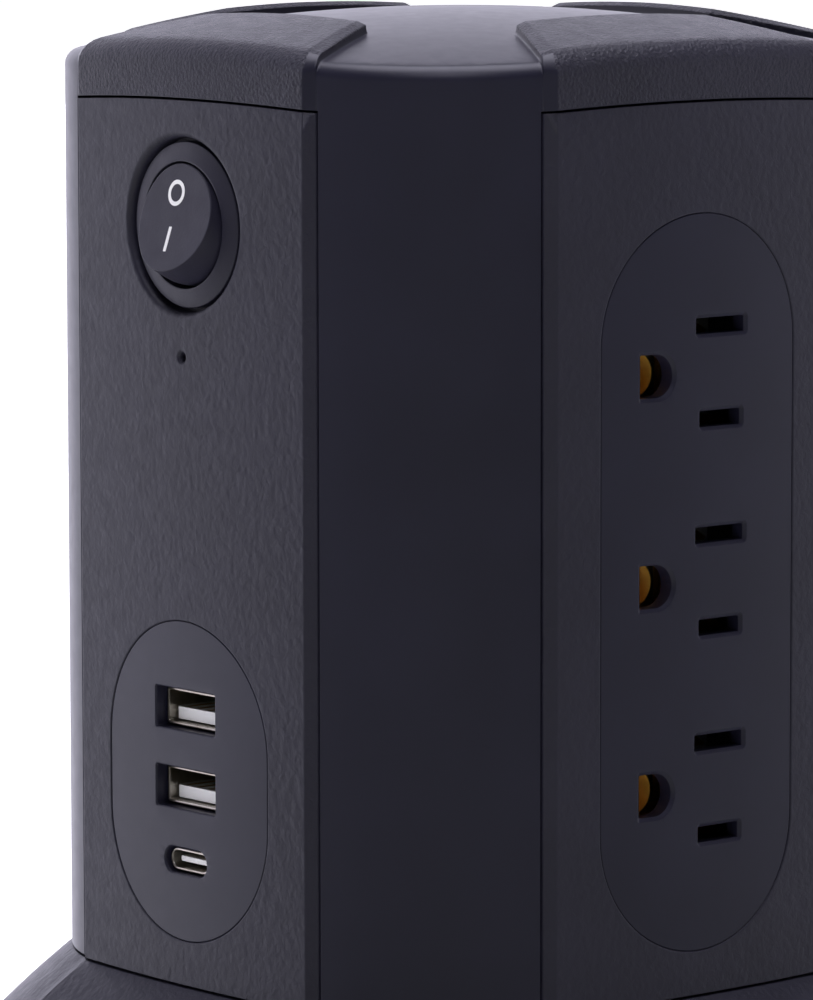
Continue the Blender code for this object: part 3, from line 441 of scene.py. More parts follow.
materials = {key: made.material for key, made in {
    "panel_textured": moulded("textured_plastic", CHARCOAL, 0.50, leather=(1050, 0.066)),
    "pad": moulded("pad_plastic", CHARCOAL, 0.46, grain=(4200, 0.060), leather=(2100, 0.140)),
    "housing_satin": moulded("satin_plastic", SATIN, 0.42, grain=(3200, 0.004), gloss_change=0.02),
    "foot_rubber": moulded("rubber", (0.014, 0.014, 0.015), 0.80, grain=(1800, 0.03), mottle=0.2),
    "steel": polished_metal("nickelled_steel", (0.64, 0.60, 0.53), (0.42, 0.37, 0.29), 0.34),
    "contact_brass": polished_metal("stamped_brass", (0.80, 0.47, 0.12), (0.55, 0.27, 0.06), 0.32),
    "ground_brass": polished_metal("ground_brass", (0.95, 0.55, 0.10), (0.72, 0.37, 0.05), 0.42,
                                   metallic=0.6),
    "inner_plastic": moulded("inner_plastic", (0.58, 0.56, 0.50), 0.52, grain=(1500, 0.02), mottle=0.06),
    "switch_black": moulded("switch_plastic", (0.0140, 0.0130, 0.0260), 0.48, grain=(2600, 0.022)),
    "white_plastic": moulded("white_plastic", (0.84, 0.84, 0.82), 0.42, grain=(2600, 0.006), mottle=0.04),
    "circuit_board": circuit_material(),
    "varistor_blue": moulded("dipped_epoxy", (0.025, 0.110, 0.400), 0.28, grain=(500, 0.05), mottle=0.12),
    "indicator_lens": lens_material(),
    "wire_black": moulded("black_insulation", (0.018, 0.018, 0.019), 0.45, grain=(900, 0.02)),
    "wire_white": moulded("white_insulation", (0.72, 0.72, 0.69), 0.45, grain=(900, 0.02), mottle=0.05),
}.items()}


# ---- pieces -------------------------------------------------------------------------------------
def piece(name, mesh, slot, body="root", stands_for=(), sharp=40):
    """A finished piece of the object, riding on a body of the frame."""
    mesh.name = name
    mesh.materials.clear()
    mesh.materials.append(materials[slot])
    mesh.shade_smooth()
    mesh.set_sharp_from_angle(angle=math.radians(sharp))
    obj = bpy.data.objects.new(name, mesh)
    bpy.context.scene.collection.objects.link(obj)
    weighted = obj.modifiers.new("even shading", "WEIGHTED_NORMAL")
    weighted.keep_sharp = True
    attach(obj, body)
    if stands_for:
        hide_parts(*stands_for)
    return obj


def mm(pairs, up=0.0, out=0.0):
    """(radius, height) pairs in millimetres, counted from a level and a radius."""
    return [(out + radius * MM, up + height * MM) for radius, height in pairs]


def upright(x, y, z=0.0):
    return Matrix.Translation((x, y, z))


def turned_mesh(profile, place, steps=64):
    """A solid turned about Z from (radius, height) pairs down its outer side, top to bottom."""
    bm = bmesh.new()
    rings = []
    for radius, height in profile:
        outline = [(0, 0)] if radius < 1e-7 else circle(radius, steps=steps)
        rings.append([bm.verts.new((x, y, height)) for x, y in outline])
    for upper, lower in zip(rings, rings[1:]):
        for i in range(steps):
            j = (i + 1) % steps
            corners = [ring[k % len(ring)] for ring, k in ((upper, i), (lower, i), (lower, j), (upper, j))]
            unique = list(dict.fromkeys(corners))
            if len(unique) > 2:
                bm.faces.new(unique)
    bmesh.ops.remove_doubles(bm, verts=bm.verts, dist=1e-7)
    bmesh.ops.recalc_face_normals(bm, faces=bm.faces)
    return mesh_from(bm, place)


def facing(side, u, v, depth=0.0):
    """Place for something turned about Z that is to point straight out of a side at (u, v)."""
    turn = Matrix.Rotation(math.radians(90 * SIDES[side]), 4, "Z")
    return turn @ Matrix.Translation((u, -depth, v)) @ Matrix.Rotation(math.radians(90), 4, "X")


def combined(mesh, parts, operation):
    """A mesh after an exact boolean with some parts, all of them in the frame's axes."""
    base, tool = (bpy.data.objects.new("part", data) for data in (mesh, joined_mesh(parts)))
    for obj in (base, tool):
        bpy.context.scene.collection.objects.link(obj)
    change = base.modifiers.new("change", "BOOLEAN")
    change.operation = operation
    change.solver = "EXACT"
    change.object = tool
    bpy.context.view_layer.update()
    result = bpy.data.meshes.new_from_object(base.evaluated_get(bpy.context.evaluated_depsgraph_get()))
    for obj in (base, tool):
        bpy.data.objects.remove(obj)
    return result


def fused(mesh, parts):
    return combined(mesh, parts, "UNION")


def cut(mesh, parts):
    return combined(mesh, parts, "DIFFERENCE")


def box_mesh(low, high, edge=0.0, steps=2):
    """A box, with its edges rounded if a width is given."""
    low, high = Vector(low), Vector(high)
    bm = bmesh.new()
    place = upright(*(low + high) / 2) @ Matrix.Diagonal((*(high - low), 1))
    bmesh.ops.create_cube(bm, size=1, matrix=place)
    if edge:
        bevel(bm, bm.edges[:], edge, steps)
    return mesh_from(bm)


def joined_mesh(meshes):
    bm = bmesh.new()
    for mesh in meshes:
        bm.from_mesh(mesh)
    return mesh_from(bm)


# ---- housing ------------------------------------------------------------------------------------
WINDOW_HALF = CORNER_HALF + 0.2 * MM
HOUSING_LOW = SEAM + GAP
SIDE_SLOPE = (CORNER_HALF - PAD_INNER_HALF) / (CORNER_DEPTH - PAD_INNER)
PAD_CHAMFER = 1.3 * MM
FRONT_STEPS, COLUMN_STEPS, ROUND_STEPS = 13, 16, 5   # stations over half a pad and half a column; rounding
JAMB_LINE = 2                                       # the foot line that stands over a window's jamb
FOOT_SLANT = 0.976                                  # cosine between a pad's foot and the column's outside
PAD_MITRE = 0.582                                   # how far a pad's corner moves sideways as it moves in
LEAN = Vector((-SIDE_SLOPE, 1))                     # which way is inward beside a pad
# lines round a pad's foot: distance inside its edge (mm), and share of the pad's rise over the dome
PAD_FOOT_LINES = [(-0.62, 0), (-0.38, 0), (-0.205, 0.01), (-0.08, 0.035), (0.0, 0.10), (0.06, 0.28),
                  (0.12, 0.58), (0.19, 0.63), (0.34, 0.69)]
# and along the top of its chamfer: distance inside the chamfer's top (mm), and height on the pad (mm)
PAD_TOP_LINES = [(-0.26, -0.12), (0.0, -0.02), (0.34, 0)]


def dome(x, y):
    return DOME_TOP - (x * x + y * y) / (2 * DOME_RADIUS)


def pad_rise(x, y):
    return PAD_RISE - PAD_RISE_LOSS * max(0, max(abs(x), abs(y)) - PAD_INNER)


def pad_top(x, y):
    return dome(x, y) + pad_rise(x, y)


def top_lines():
    """The lines along the top of a pad's chamfer, with their height functions."""
    return [(offset, lowered(pad_top, -height * MM)) for offset, height in PAD_TOP_LINES]


def foot_lines():
    """The lines round a pad's foot, with their height functions."""
    return [(offset, lambda x, y, s=share: dome(x, y) + s * pad_rise(x, y))
            for offset, share in PAD_FOOT_LINES]


def on_pad(x, y):
    """Whether a point is on the flat of one of the four pads."""
    v, u = max(abs(x), abs(y)), min(abs(x), abs(y))
    return v > PAD_INNER and u < PAD_INNER_HALF + (v - PAD_INNER) * SIDE_SLOPE - 0.9 * MM


def dome_or_pad(x, y):
    return pad_top(x, y) if on_pad(x, y) else dome(x, y)


def half_stations():
    """The housing's outer edge, from the middle of the front to the middle of the column on its right.

    Each station is (x, y, inward direction, rounding radius, height function, inner x, inner y).
    """
    stations = []
    inner_radius = COLUMN_RADIUS - WALL
    inner_start = -math.degrees(math.acos((WINDOW_HALF - COLUMN_CENTRE) / inner_radius))
    inner_jamb = polar(inner_radius, inner_start, COLUMN_CENTRE)[1]
    edge = Vector((FACE_HALF, -face_depth(FACE_HALF)))
    across = Vector((CORNER_HALF, -CORNER_DEPTH)) - edge

    def inner_flank(x):
        t = (x - FACE_HALF) / (WINDOW_HALF - FACE_HALF)
        return (x, edge.y + WALL + t * (inner_jamb - edge.y - WALL))

    def inner_column(degrees):
        past = (degrees + 45 + COLUMN_REACH) / COLUMN_REACH
        return polar(inner_radius, inner_start + past * (-45 - inner_start), COLUMN_CENTRE)

    def on_chamfer(share, height):
        x, y = edge + share * across
        radius = PAD_FRONT_ROUND + share * (COLUMN_ROUND - PAD_FRONT_ROUND)
        stations.append((x, y, LEAN, radius, height, *inner_flank(x)))

    us = [FACE_HALF * i / FRONT_STEPS for i in range(FRONT_STEPS)] + [FACE_HALF - PAD_TOP_LINES[2][0] * MM]
    for u in us:
        y = -face_depth(u)
        stations.append((u, y, (-SIDE_SLOPE * u / FACE_HALF, 1), PAD_FRONT_ROUND, pad_top, u, y + WALL))
    for offset, height in reversed(top_lines()[:2]):
        on_chamfer(-offset * MM / across.length, height)
    for offset, height in reversed(foot_lines()):
        if offset >= 0:
            on_chamfer(1 - offset * MM / across.length, height)
            continue
        degrees = -45 - COLUMN_REACH - math.degrees(offset * MM / FOOT_SLANT / COLUMN_RADIUS)
        x, y = polar(COLUMN_RADIUS, degrees, COLUMN_CENTRE)
        if offset == PAD_FOOT_LINES[JAMB_LINE][0]:
            x = WINDOW_HALF
            y = -COLUMN_CENTRE - math.sqrt(COLUMN_RADIUS ** 2 - (x - COLUMN_CENTRE) ** 2)
        inner = inner_flank(x) if x <= WINDOW_HALF else inner_column(degrees)
        stations.append((x, y, LEAN, COLUMN_ROUND, height, *inner))
    first = math.degrees(math.acos((stations[-1][0] - COLUMN_CENTRE) / COLUMN_RADIUS))
    for i in range(1, COLUMN_STEPS + 1):
        degrees = -first + (first - 45) * i / COLUMN_STEPS
        t = (-degrees - 45) / COLUMN_REACH
        stretch = 1 + (math.hypot(SIDE_SLOPE, 1) - 1) * t * t
        inward = polar(stretch, 135 - (45 - math.degrees(math.atan(SIDE_SLOPE))) * t)
        stations.append((*polar(COLUMN_RADIUS, degrees, COLUMN_CENTRE), inward, COLUMN_ROUND, dome,
                         *inner_column(degrees)))
    return stations


def pad_line(shell, ends, turn, offset, height):
    """A line round a pad, at a distance inside its edge (mm), from one vertex of the rim to another."""
    start, end = (Vector(shell.flat[v]) for v in ends)
    half_width = PAD_INNER_HALF - PAD_MITRE * offset * MM
    knees = [Vector(turned(x, -PAD_INNER - offset * MM, turn)) for x in (half_width, -half_width)]
    corners = [start, *knees, end]
    points = []
    for p, q in zip(corners, corners[1:]):
        pieces = max(1, round((q - p).length / (2.2 * MM)))
        points += [p + (q - p) * i / pieces for i in range(pieces)]
    return [ends[0], *shell.ring([tuple(p) for p in points[1:]], height), ends[1]]


def housing_mesh():
    half = half_stations()
    mirrored = [(-x, y, (-dx, dy), r, h, -ix, iy) for x, y, (dx, dy), r, h, ix, iy in reversed(half)]
    quarter = mirrored[:-1] + half[:-1]
    count, middle = len(quarter), len(mirrored) - 1
    tops, feet = top_lines(), foot_lines()
    last_top = FRONT_STEPS + len(tops) - 1
    last_foot = last_top + len(feet)
    jamb = last_foot - JAMB_LINE

    shell = Shell(plan_place)
    rings = [[] for _ in range(ROUND_STEPS + 6)]
    for turn in range(4):
        for x, y, (dx, dy), radius, height, ix, iy in quarter:
            points = []
            for k in range(ROUND_STEPS + 1):
                a = math.radians(90 * k / ROUND_STEPS)
                px, py = (at + radius * (1 - math.cos(a)) * d for at, d in ((x, dx), (y, dy)))
                points.append((px, py, height(px, py) - radius * (1 - math.sin(a))))
            lintel = panel_top(x, WINDOW_HALF)
            points += [(x, y, lintel), (x, y, HOUSING_LOW), (ix, iy, HOUSING_LOW), (ix, iy, lintel),
                       (ix, iy, dome(ix, iy) - WALL)]
            for ring, (px, py, z) in zip(rings, points):
                ring += shell.ring([turned(px, py, turn)], z)
    *rim, window, low, inner_low, inner_window, inner_top = rings
    shell.sweep(rim)
    shell.strip(rim[0], window)
    shell.strip(inner_top, inner_window)

    def part_of(ring, start, end):
        return [ring[i % len(ring)] for i in range(start, end + 1)]

    lines = []
    for turn in range(4):
        centre = turn * count + middle
        left, right = centre - jamb, centre + jamb
        shell.strip(part_of(window, left, right), part_of(inner_window, left, right), closed=False)
        after = right + count - 2 * jamb
        outer, foot, inner, inner_foot = (part_of(ring, right, after) for ring in
                                          (window, low, inner_window, inner_low))
        for first, second in ((outer, foot), (inner, inner_foot), (foot, inner_foot)):
            shell.strip(first, second, closed=False)
        for end in (0, -1):
            shell.bm.faces.new((outer[end], foot[end], inner_foot[end], inner[end]))
        shell.soften([part_of(window, left, right), [outer[0], *foot, outer[-1]]], 0.10 * MM)
        for found, last, inset in ((tops, last_top, PAD_CHAMFER), (feet, last_foot, 0)):
            for i, (offset, height) in enumerate(found):
                ends = [rim[-1][centre + last - i], rim[-1][centre - last + i]]
                lines.append(pad_line(shell, ends, turn, inset / MM + offset, height))
    shell.patch([rim[-1]], dome_or_pad, lines, (2.4 * MM, 2.4 * MM), 0.9 * MM)
    shell.patch([inner_top], lowered(dome, WALL), (), (5 * MM, 5 * MM), 1.5 * MM)
    posts = pegs(mm([(0, 58), (3.8, 58), (4.2, 57.6)]) + mm([(4.2, 0), (0, 0)], HOUSING_LOW), 40)
    bores = pegs(rod(SCREW_BORE, SCREW_TOP + 2 * MM, SEAM - 5 * MM), 32)
    return cut(fused(shell.mesh(), posts), bores)


# ---- base, plate, feet and screws ---------------------------------------------------------------
SCREW_RADIAL = 50.5 * MM
SCREW_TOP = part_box("base_screw_1")[1].z
SCREW_RADIUS = 1.5 * MM
SCREW_BORE = SCREW_RADIUS + GAP
FOOT_RADIAL = 61 * MM
FOOT_RADIUS = (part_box("rubber_foot_1")[1].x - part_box("rubber_foot_1")[0].x) / 2
PLATE_TOP = 5.6 * MM
FLARE_SLOPE = 39.5
FLARE_RADIUS = 150 * MM
FLARE_TURN = 5.5
SKIRT_ROUND = 12 * MM
SKIRT_SLOPE = 88.0
DECK_OPENING = 0.80
GLAND_U, BREAKER_U = -20 * MM, 20 * MM
PORT_V = middle_of("cord_gland")
PORT_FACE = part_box("cord_gland")[1].y
PORT_BOSS_RADIUS = 7.4 * MM


def diagonals(radial):
    """Points on the plan's diagonals, at a distance from the middle."""
    d = radial * math.sqrt(0.5)
    return [(d, -d), (d, d), (-d, d), (-d, -d)]


def rod(radius, top, bottom):
    """The profile of a plain rod."""
    return [(0, top), (radius, top), (radius, bottom), (0, bottom)]


def pegs(profile, steps):
    """The same turned solid where each of the screws is."""
    return [turned_mesh(profile, upright(x, y), steps) for x, y in diagonals(SCREW_RADIAL)]


def flared_outline(out, face_steps=26, column_steps=30):
    """The tower's plan spread outward down the base."""
    corner_slope = math.tan(math.radians(22.5)) * FACE_HALF / CORNER_HALF
    stretch = 1 / math.cos(math.radians(22.5)) - 1
    side = []
    for i in range(face_steps + 1):
        t = 2 * i / face_steps - 1
        u = FACE_HALF * t
        side.append((u + out * corner_slope * t, -face_depth(u) - out))
    for i, (x, y) in enumerate(column_arc(column_steps)):
        t = 2 * i / column_steps - 1
        reach = out * (1 + stretch * t * t)
        angle = math.radians(45 + 22.5 * t)
        side.append((x + reach * math.sin(angle), y - reach * math.cos(angle)))
    return quarter_turns(side)


def flare_profile():
    """Spread, height and slope down the base's outside."""
    points = []
    out, z = 0.0, SEAM
    angle = math.radians(FLARE_SLOPE)
    for turn, radius, steps in ((FLARE_TURN, FLARE_RADIUS, 5),
                                (SKIRT_SLOPE - FLARE_SLOPE - FLARE_TURN, SKIRT_ROUND, 9)):
        for _ in range(steps):
            points.append((out, z, angle))
            after = angle + math.radians(turn) / steps
            out += radius * (math.sin(after) - math.sin(angle))
            z -= radius * (math.cos(angle) - math.cos(after))
            angle = after
    points.append((out, z, angle))
    points.append((out, 8 * MM, math.radians(90)))
    points.append((out, PLATE_LOW, math.radians(90)))
    return points


def base_mesh():
    shell = Shell(plan_place)
    profile = flare_profile()
    deck = [(x * DECK_OPENING, y * DECK_OPENING) for x, y in flared_outline(0)]
    outer = [shell.ring(deck, SEAM)] + [shell.ring(flared_outline(out), z) for out, z, _ in profile]
    inner = [shell.ring(deck, SEAM - WALL), shell.ring(flared_outline(-1.6 * MM), SEAM - WALL)]
    for out, z, angle in profile[2:]:
        inner_z = z - WALL * math.cos(angle)
        inner.append(shell.ring(flared_outline(out - WALL * math.sin(angle)), inner_z))
    shell.sweep(outer)
    shell.sweep(inner)
    shell.strip(outer[0], inner[0])
    shell.strip(outer[-1], inner[-1])
    shell.soften([outer[1] + outer[1][:1]], 0.35 * MM)
    shell.soften([outer[-1] + outer[-1][:1]], 0.5 * MM, 3)
    posts = pegs(mm([(0, -0.4), (3.6, -0.4)], SEAM) + mm([(3.6, 8.4), (3.3, 8.1), (0, 8.1)]), 40)
    bores = pegs(rod(SCREW_BORE, SEAM + 2 * MM, 6 * MM), 32)
    lip = [(PORT_BOSS_RADIUS - inset, PORT_FACE - drop) for inset, drop in reversed(rounding(0.5 * MM)[:-1])]
    for u, mouth in ((GLAND_U, [(6.9, 0), (6.6, -0.3), (6.6, -1.8), (5.8, -1.8)]),
                     (BREAKER_U, [(5.9, 0), (5.5, -0.4)])):
        boss = [(0, PORT_FACE), *lip, (PORT_BOSS_RADIUS, 52 * MM), (0, 52 * MM)]
        posts.append(turned_mesh(boss, back_place(u, PORT_V), 72))
        bore = mm([(0, 70), (mouth[0][0], 70)]) + mm(mouth, PORT_FACE) + mm([(mouth[-1][0], 40), (0, 40)])
        bores.append(turned_mesh(bore, back_place(u, PORT_V)))
    return cut(fused(shell.mesh(), posts), bores)


def back_place(u, v, depth=0.0):
    """Place for something turned about Z that is to point out of the back, at x = u."""
    return Matrix.Translation((u, depth, v)) @ Matrix.Rotation(math.radians(-90), 4, "X")


def plate_mesh():
    shell = Shell(plan_place)
    spread = flare_profile()[-1][0] - WALL - GAP
    rim = rounding(0.3 * MM, 2)

    def rounded_rings(outline, sign):
        """Rings over the rounded lower edge of an outline, given as a function of how far it grows."""
        return [shell.ring(outline(sign * inset), PLATE_LOW + drop) for inset, drop in rim]

    low_rings = rounded_rings(lambda grow: flared_outline(spread + grow), -1)
    high = shell.ring(flared_outline(spread), PLATE_TOP)
    shell.sweep(low_rings)
    shell.strip(low_rings[0], high)
    below, above = [low_rings[-1]], [high]
    foot_hole = FOOT_RADIUS + GAP
    foot_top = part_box("rubber_foot_1")[1].z + GAP
    for at in diagonals(FOOT_RADIAL):
        rings = rounded_rings(lambda grow: circle(foot_hole + grow, at), 1)
        shell.sweep(rings)
        floor = shell.ring(circle(foot_hole, at), foot_top)
        shell.strip(rings[0], floor)
        shell.patch([floor])
        below.append(rings[-1])
    head, seat, boss = 3.2 * MM, PLATE_LOW + 2.6 * MM, PLATE_TOP + 2.2 * MM
    steps = [(head, seat), (SCREW_BORE, seat), (SCREW_BORE, boss), (4.7 * MM, boss),
             (5.0 * MM, boss - 0.3 * MM), (5.0 * MM, PLATE_TOP)]
    for at in diagonals(SCREW_RADIAL):
        rings = rounded_rings(lambda grow: circle(head + grow, at), 1)[::-1]
        rings += [shell.ring(circle(radius, at), height) for radius, height in steps]
        shell.sweep(rings)
        below.append(rings[0])
        above.append(rings[-1])
    shell.patch(below)
    shell.patch(above)
    return shell.mesh()


def foot_mesh(x, y):
    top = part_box("rubber_foot_1")[1].z
    side = mm([(0, 2.4), (-0.25, 2.2), (-0.25, 1.9), (0, 1.7), (0, 0.8), (-0.15, 0.4), (-0.5, 0.1),
               (-0.9, 0), (-1.6, 0), (-1.9, 0.3), (-2.2, 0)], 0, FOOT_RADIUS)
    profile = [(0, top), *mm([(-0.2, 0), (0, -0.2)], top, FOOT_RADIUS), *side, (0, 0)]
    return turned_mesh(profile, upright(x, y))


def screw_mesh(x, y):
    pitch, thread_end = 1.2 * MM, 12 * MM
    profile = mm([(0, 0), (0.4, 0), (1.1, -2.4)], SCREW_TOP)
    z = SCREW_TOP - 3 * MM
    while z > thread_end:
        profile += mm([(1.5, 0), (1.47, -0.15), (1.08, -0.45), (1.08, -0.8)], z)
        z -= pitch
    profile += [(1.3 * MM, 11 * MM), *mm([(1.3, 2.1), (2.6, 2.1), (2.8, 1.9), (2.8, 1.2), (2.6, 0.75),
                                          (2.1, 0.42), (1.6, 0.3), (0, 0.3)], PLATE_LOW)]
    arm, half, low, high = 1.75 * MM, 0.38 * MM, PLATE_LOW + GAP - MM, PLATE_LOW + 1.2 * MM
    bars = [box_mesh((x - a, y - b, low), (x + a, y + b, high)) for a, b in ((arm, half), (half, arm))]
    return cut(turned_mesh(profile, upright(x, y), 40), [fused(bars[0], bars[1:])])


# ---- side panels --------------------------------------------------------------------------------
PANEL_HALF = CORNER_HALF - 0.1 * MM
PANEL_INNER_HALF = FACE_HALF - MM
FLANGE = (28.5 * MM, 44.4 * MM, 42.6 * MM)          # half width, front and rear
PANEL_EDGE_ROUND = 0.18 * MM
SEAM_HALF = 0.025 * MM                              # half the hairline gap round an insert
RECESS_RADIUS, RECESS_FILLET = 12.0 * MM, 1.0 * MM
RECESS_FLOOR = 47.6 * MM
BARREL_RADIUS = 9.8 * MM
BOSS_REAR, BOSS_WALL = 46 * MM, 2.7 * MM            # the boss behind the recess
LED_RIM, LED_BORE = 1.05 * MM, 0.64 * MM


def panel_rear(u, v=0):
    return face_depth(min(abs(u), PANEL_INNER_HALF)) - WALL


def switch_recess(shell):
    """The round recess that the bezel sits in, and the boss behind it. Returns the outer loops."""
    def ring(radius, depth):
        return shell.ring(circle(radius, (0, SWITCH_V), 96), depth)

    steps = [(BARREL_RADIUS + GAP, BOSS_REAR), (BARREL_RADIUS + GAP, RECESS_FLOOR),
             (RECESS_RADIUS, RECESS_FLOOR)]
    for i in range(9):
        a = math.radians(90 - 90 * i / 8)
        out, drop = RECESS_FILLET * (1 - math.sin(a)), RECESS_FILLET * (1 - math.cos(a))
        steps.append((RECESS_RADIUS + out, lowered(panel_depth, drop)))
    rings = [ring(*step) for step in steps]
    shell.sweep(rings)
    boss = [ring(RECESS_RADIUS + BOSS_WALL, depth) for depth in (BOSS_REAR, panel_rear)]
    shell.strip(*boss)
    shell.strip(rings[0], boss[0])
    return rings[-1], boss[1]


def led_hole(shell):
    """The indicator's countersunk hole. Returns its loops at the front and the rear."""
    mouth = mm([(0, 0.30), (0.04, 0.22)], 0, LED_BORE)
    mouth += mm([(-0.06, 0.04), (0, 0.010), (0.08, 0)], 0, LED_RIM)
    steps = [(LED_BORE, panel_rear)] + [(radius, lowered(panel_depth, drop)) for radius, drop in mouth]
    rings = [shell.ring(circle(radius, (0, LED_V), 40), depth) for radius, depth in steps]
    shell.sweep(rings)
    return rings[-1], rings[0]


def panel_mesh(opening, with_switch, turn):
    shell = Shell(front_place)
    low = PANEL_LOW
    high = lambda u: panel_top(u) - GAP
    crease = (FACE_HALF - 0.22 * MM, FACE_HALF, FACE_HALF + 0.16 * MM)
    us = [-PANEL_HALF, *(-u for u in reversed(crease))]
    us += [FACE_HALF * (2 * i / 22 - 1) for i in range(1, 22)]
    us += [*crease, PANEL_HALF]
    vs = [low + (PANEL_TOP - GAP - low) * i / 40 for i in range(1, 40)]
    inner_us = [u for u in us if abs(u) < PANEL_INNER_HALF - 0.1 * MM]
    inner_us = [-PANEL_INNER_HALF, *inner_us, PANEL_INNER_HALF]

    front_low = shell.ring([(u, low) for u in us], panel_depth)
    front_high = shell.ring([(u, high(u)) for u in us], panel_depth)
    sides = {}
    for key, end in (("left", 0), ("right", -1)):
        middle = shell.ring([(us[end], v) for v in vs], panel_depth)
        sides[key] = [front_low[end], *middle, front_high[end]]
    front = front_low + sides["right"][1:-1] + front_high[::-1] + sides["left"][-2:0:-1]

    rear_low = shell.ring([(u, low) for u in inner_us], panel_rear)
    rear_high = shell.ring([(u, high(u)) for u in inner_us], panel_rear)
    rear = rear_low + rear_high[::-1]

    # the flanges, and the panel's end faces at the top and bottom
    half, flange_front, flange_rear = FLANGE
    ends = []
    for level, front_ring, rear_ring in ((lambda u: low, front_low, rear_low),
                                         (high, front_high, rear_high)):
        flanges = {}
        for sign in (1, -1):
            corners = [(PANEL_HALF, flange_front), (half, flange_front), (half, flange_rear),
                       (PANEL_INNER_HALF, flange_rear)]
            flanges[sign] = [shell.bm.verts.new(front_place(sign * u, level(min(u, CORNER_HALF)), depth))
                             for u, depth in corners]
        around = front_ring + flanges[1] + rear_ring[::-1] + flanges[-1][::-1]
        for vert in around:
            shell.flat[vert] = (vert.co.x, vert.co.y)
        ends.append(around)
    low_around, high_around = ends
    for around in ends:
        shell.patch([around])
    count = len(us)
    for start in (count, count + 4 + len(inner_us) - 1):
        for i in range(start, start + 4):
            shell.bm.faces.new((low_around[i], low_around[i + 1], high_around[i + 1], high_around[i]))
    shell.bm.faces.new([*sides["right"], high_around[count], low_around[count]])
    shell.bm.faces.new([*sides["left"], high_around[-1], low_around[-1]])
    for vert in front_low + front_high + rear_low + rear_high:
        shell.flat[vert] = (vert.co.x, vert.co.z)

    loops, rear_loops = [front], [rear]
    contour = lambda grow: stadium(*opening, grow - SEAM_HALF)
    wall, face_ring = shell.edge(contour, rounding(0.24 * MM), panel_depth)
    back = shell.ring(contour(0), panel_rear)
    shell.strip(wall, back)
    loops.append(face_ring)
    rear_loops.append(back)
    if with_switch:
        for front_loop, rear_loop in (switch_recess(shell), led_hole(shell)):
            loops.append(front_loop)
            rear_loops.append(rear_loop)
    creases = [[front_low[i], *shell.ring([(us[i], v) for v in vs], panel_depth), front_high[i]]
               for i in (1, 2, 3, count - 4, count - 3, count - 2)]
    shell.patch(loops, panel_depth, creases, (2.2 * MM, 3.0 * MM), 0.8 * MM)
    shell.patch(rear_loops, panel_rear, (), (6 * MM, 8 * MM), 2 * MM)
    shell.soften([front + front[:1]], PANEL_EDGE_ROUND)
    return shell.mesh(turn)


# ---- receptacles --------------------------------------------------------------------------------
OUTLET_FIRST = SEAM + 28.8 * MM
OUTLET_PITCH = 28.63 * MM
BLADE_U, BLADE_OFFSET = 3.8 * MM, 6.35 * MM
GROUND_U = -8.1 * MM
UPPER_SLOT, LOWER_SLOT = (8.8 * MM, 2.2 * MM), (7.4 * MM, 2.2 * MM)
GROUND_HOLE = (5.65 * MM, 5.9 * MM)
GROUND_HOLE_U = GROUND_U + 0.33 * MM
SLOT_CHAMFER = 0.5 * MM
INSERT_INSET = 0.10 * MM                            # how far an insert's face lies below the panel's
MODULE_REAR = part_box("receptacle_face_right")[0].x
USB_REAR = -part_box("usb_face")[1].y
OUTLET_MODULE = (31.0 * MM, 139.0 * MM)
USB_MODULE = (31.0 * MM, 82.0 * MM)
MODULE_FRONT = 46.9 * MM
MODULE_WALL = 1.8 * MM
PLATE_REAR = 47.6 * MM


def insert_depth(u, v=0):
    return face_depth(u) - INSERT_INSET


def ground_outline(v, grow=0.0):
    """A grounding hole: flat away from the blade slots, half-round towards them."""
    width, height = (size / 2 + grow for size in GROUND_HOLE)
    corner = 0.25 * MM
    points = arc((GROUND_HOLE_U + width - height, v), height, -90, 90, 28)
    points += arc((GROUND_HOLE_U - width + corner, v + height - corner), corner, 90, 180, 4)
    points += arc((GROUND_HOLE_U - width + corner, v - height + corner), corner, 180, 270, 4)
    return points


def outlet_heights():
    return [OUTLET_FIRST + OUTLET_PITCH * i for i in range(3)]


def insert_mesh(opening, module, rear, holes, hollow, turn):
    """A face that fills a panel's stadium opening, on a box-shaped body behind the panel.

    Each hole is (contour function, edge profile). A hollow face has a thin plate over a cavity.
    """
    shell = Shell(front_place)
    low, high = module
    centre = (0, (low + high) / 2)
    size = (2 * MODULE_HALF, high - low)
    outer = [shell.ring(rounded(*size, 2 * MM, centre), depth) for depth in (rear, MODULE_FRONT)]
    shell.strip(*outer)
    contour = lambda grow: stadium(*opening, grow - 3 * SEAM_HALF)
    wall, face_ring = shell.edge(contour, rounding(0.16 * MM), insert_depth, -1)
    boss = shell.ring(contour(0), MODULE_FRONT)
    shell.strip(boss, wall)
    shell.patch([outer[1], boss])
    cavity_size = (size[0] - 2 * MODULE_WALL, size[1] - 2 * MODULE_WALL)
    floor = MODULE_FRONT - 2 * MM
    cavity = [shell.ring(rounded(*cavity_size, MM, centre), depth) for depth in (rear, floor)]
    shell.strip(*cavity)
    shell.patch([outer[0], cavity[0]])
    hole_depth = PLATE_REAR if hollow else floor
    faces, ends = [face_ring], []
    for hole, profile in holes:
        edge, mouth = shell.edge(hole, profile, insert_depth)
        end = shell.ring(hole(0), hole_depth)
        shell.strip(edge, end)
        faces.append(mouth)
        ends.append(end)
    shell.patch(faces, insert_depth, (), (1.6 * MM, 1.6 * MM), 0.7 * MM)
    if hollow:
        well = [shell.ring(stadium(*opening, -MODULE_WALL), depth) for depth in (PLATE_REAR, floor)]
        shell.strip(*well)
        shell.patch([well[0], *ends])
        shell.patch([cavity[1], well[1]])
    else:
        shell.patch([cavity[1], *ends])
    return shell.mesh(turn)


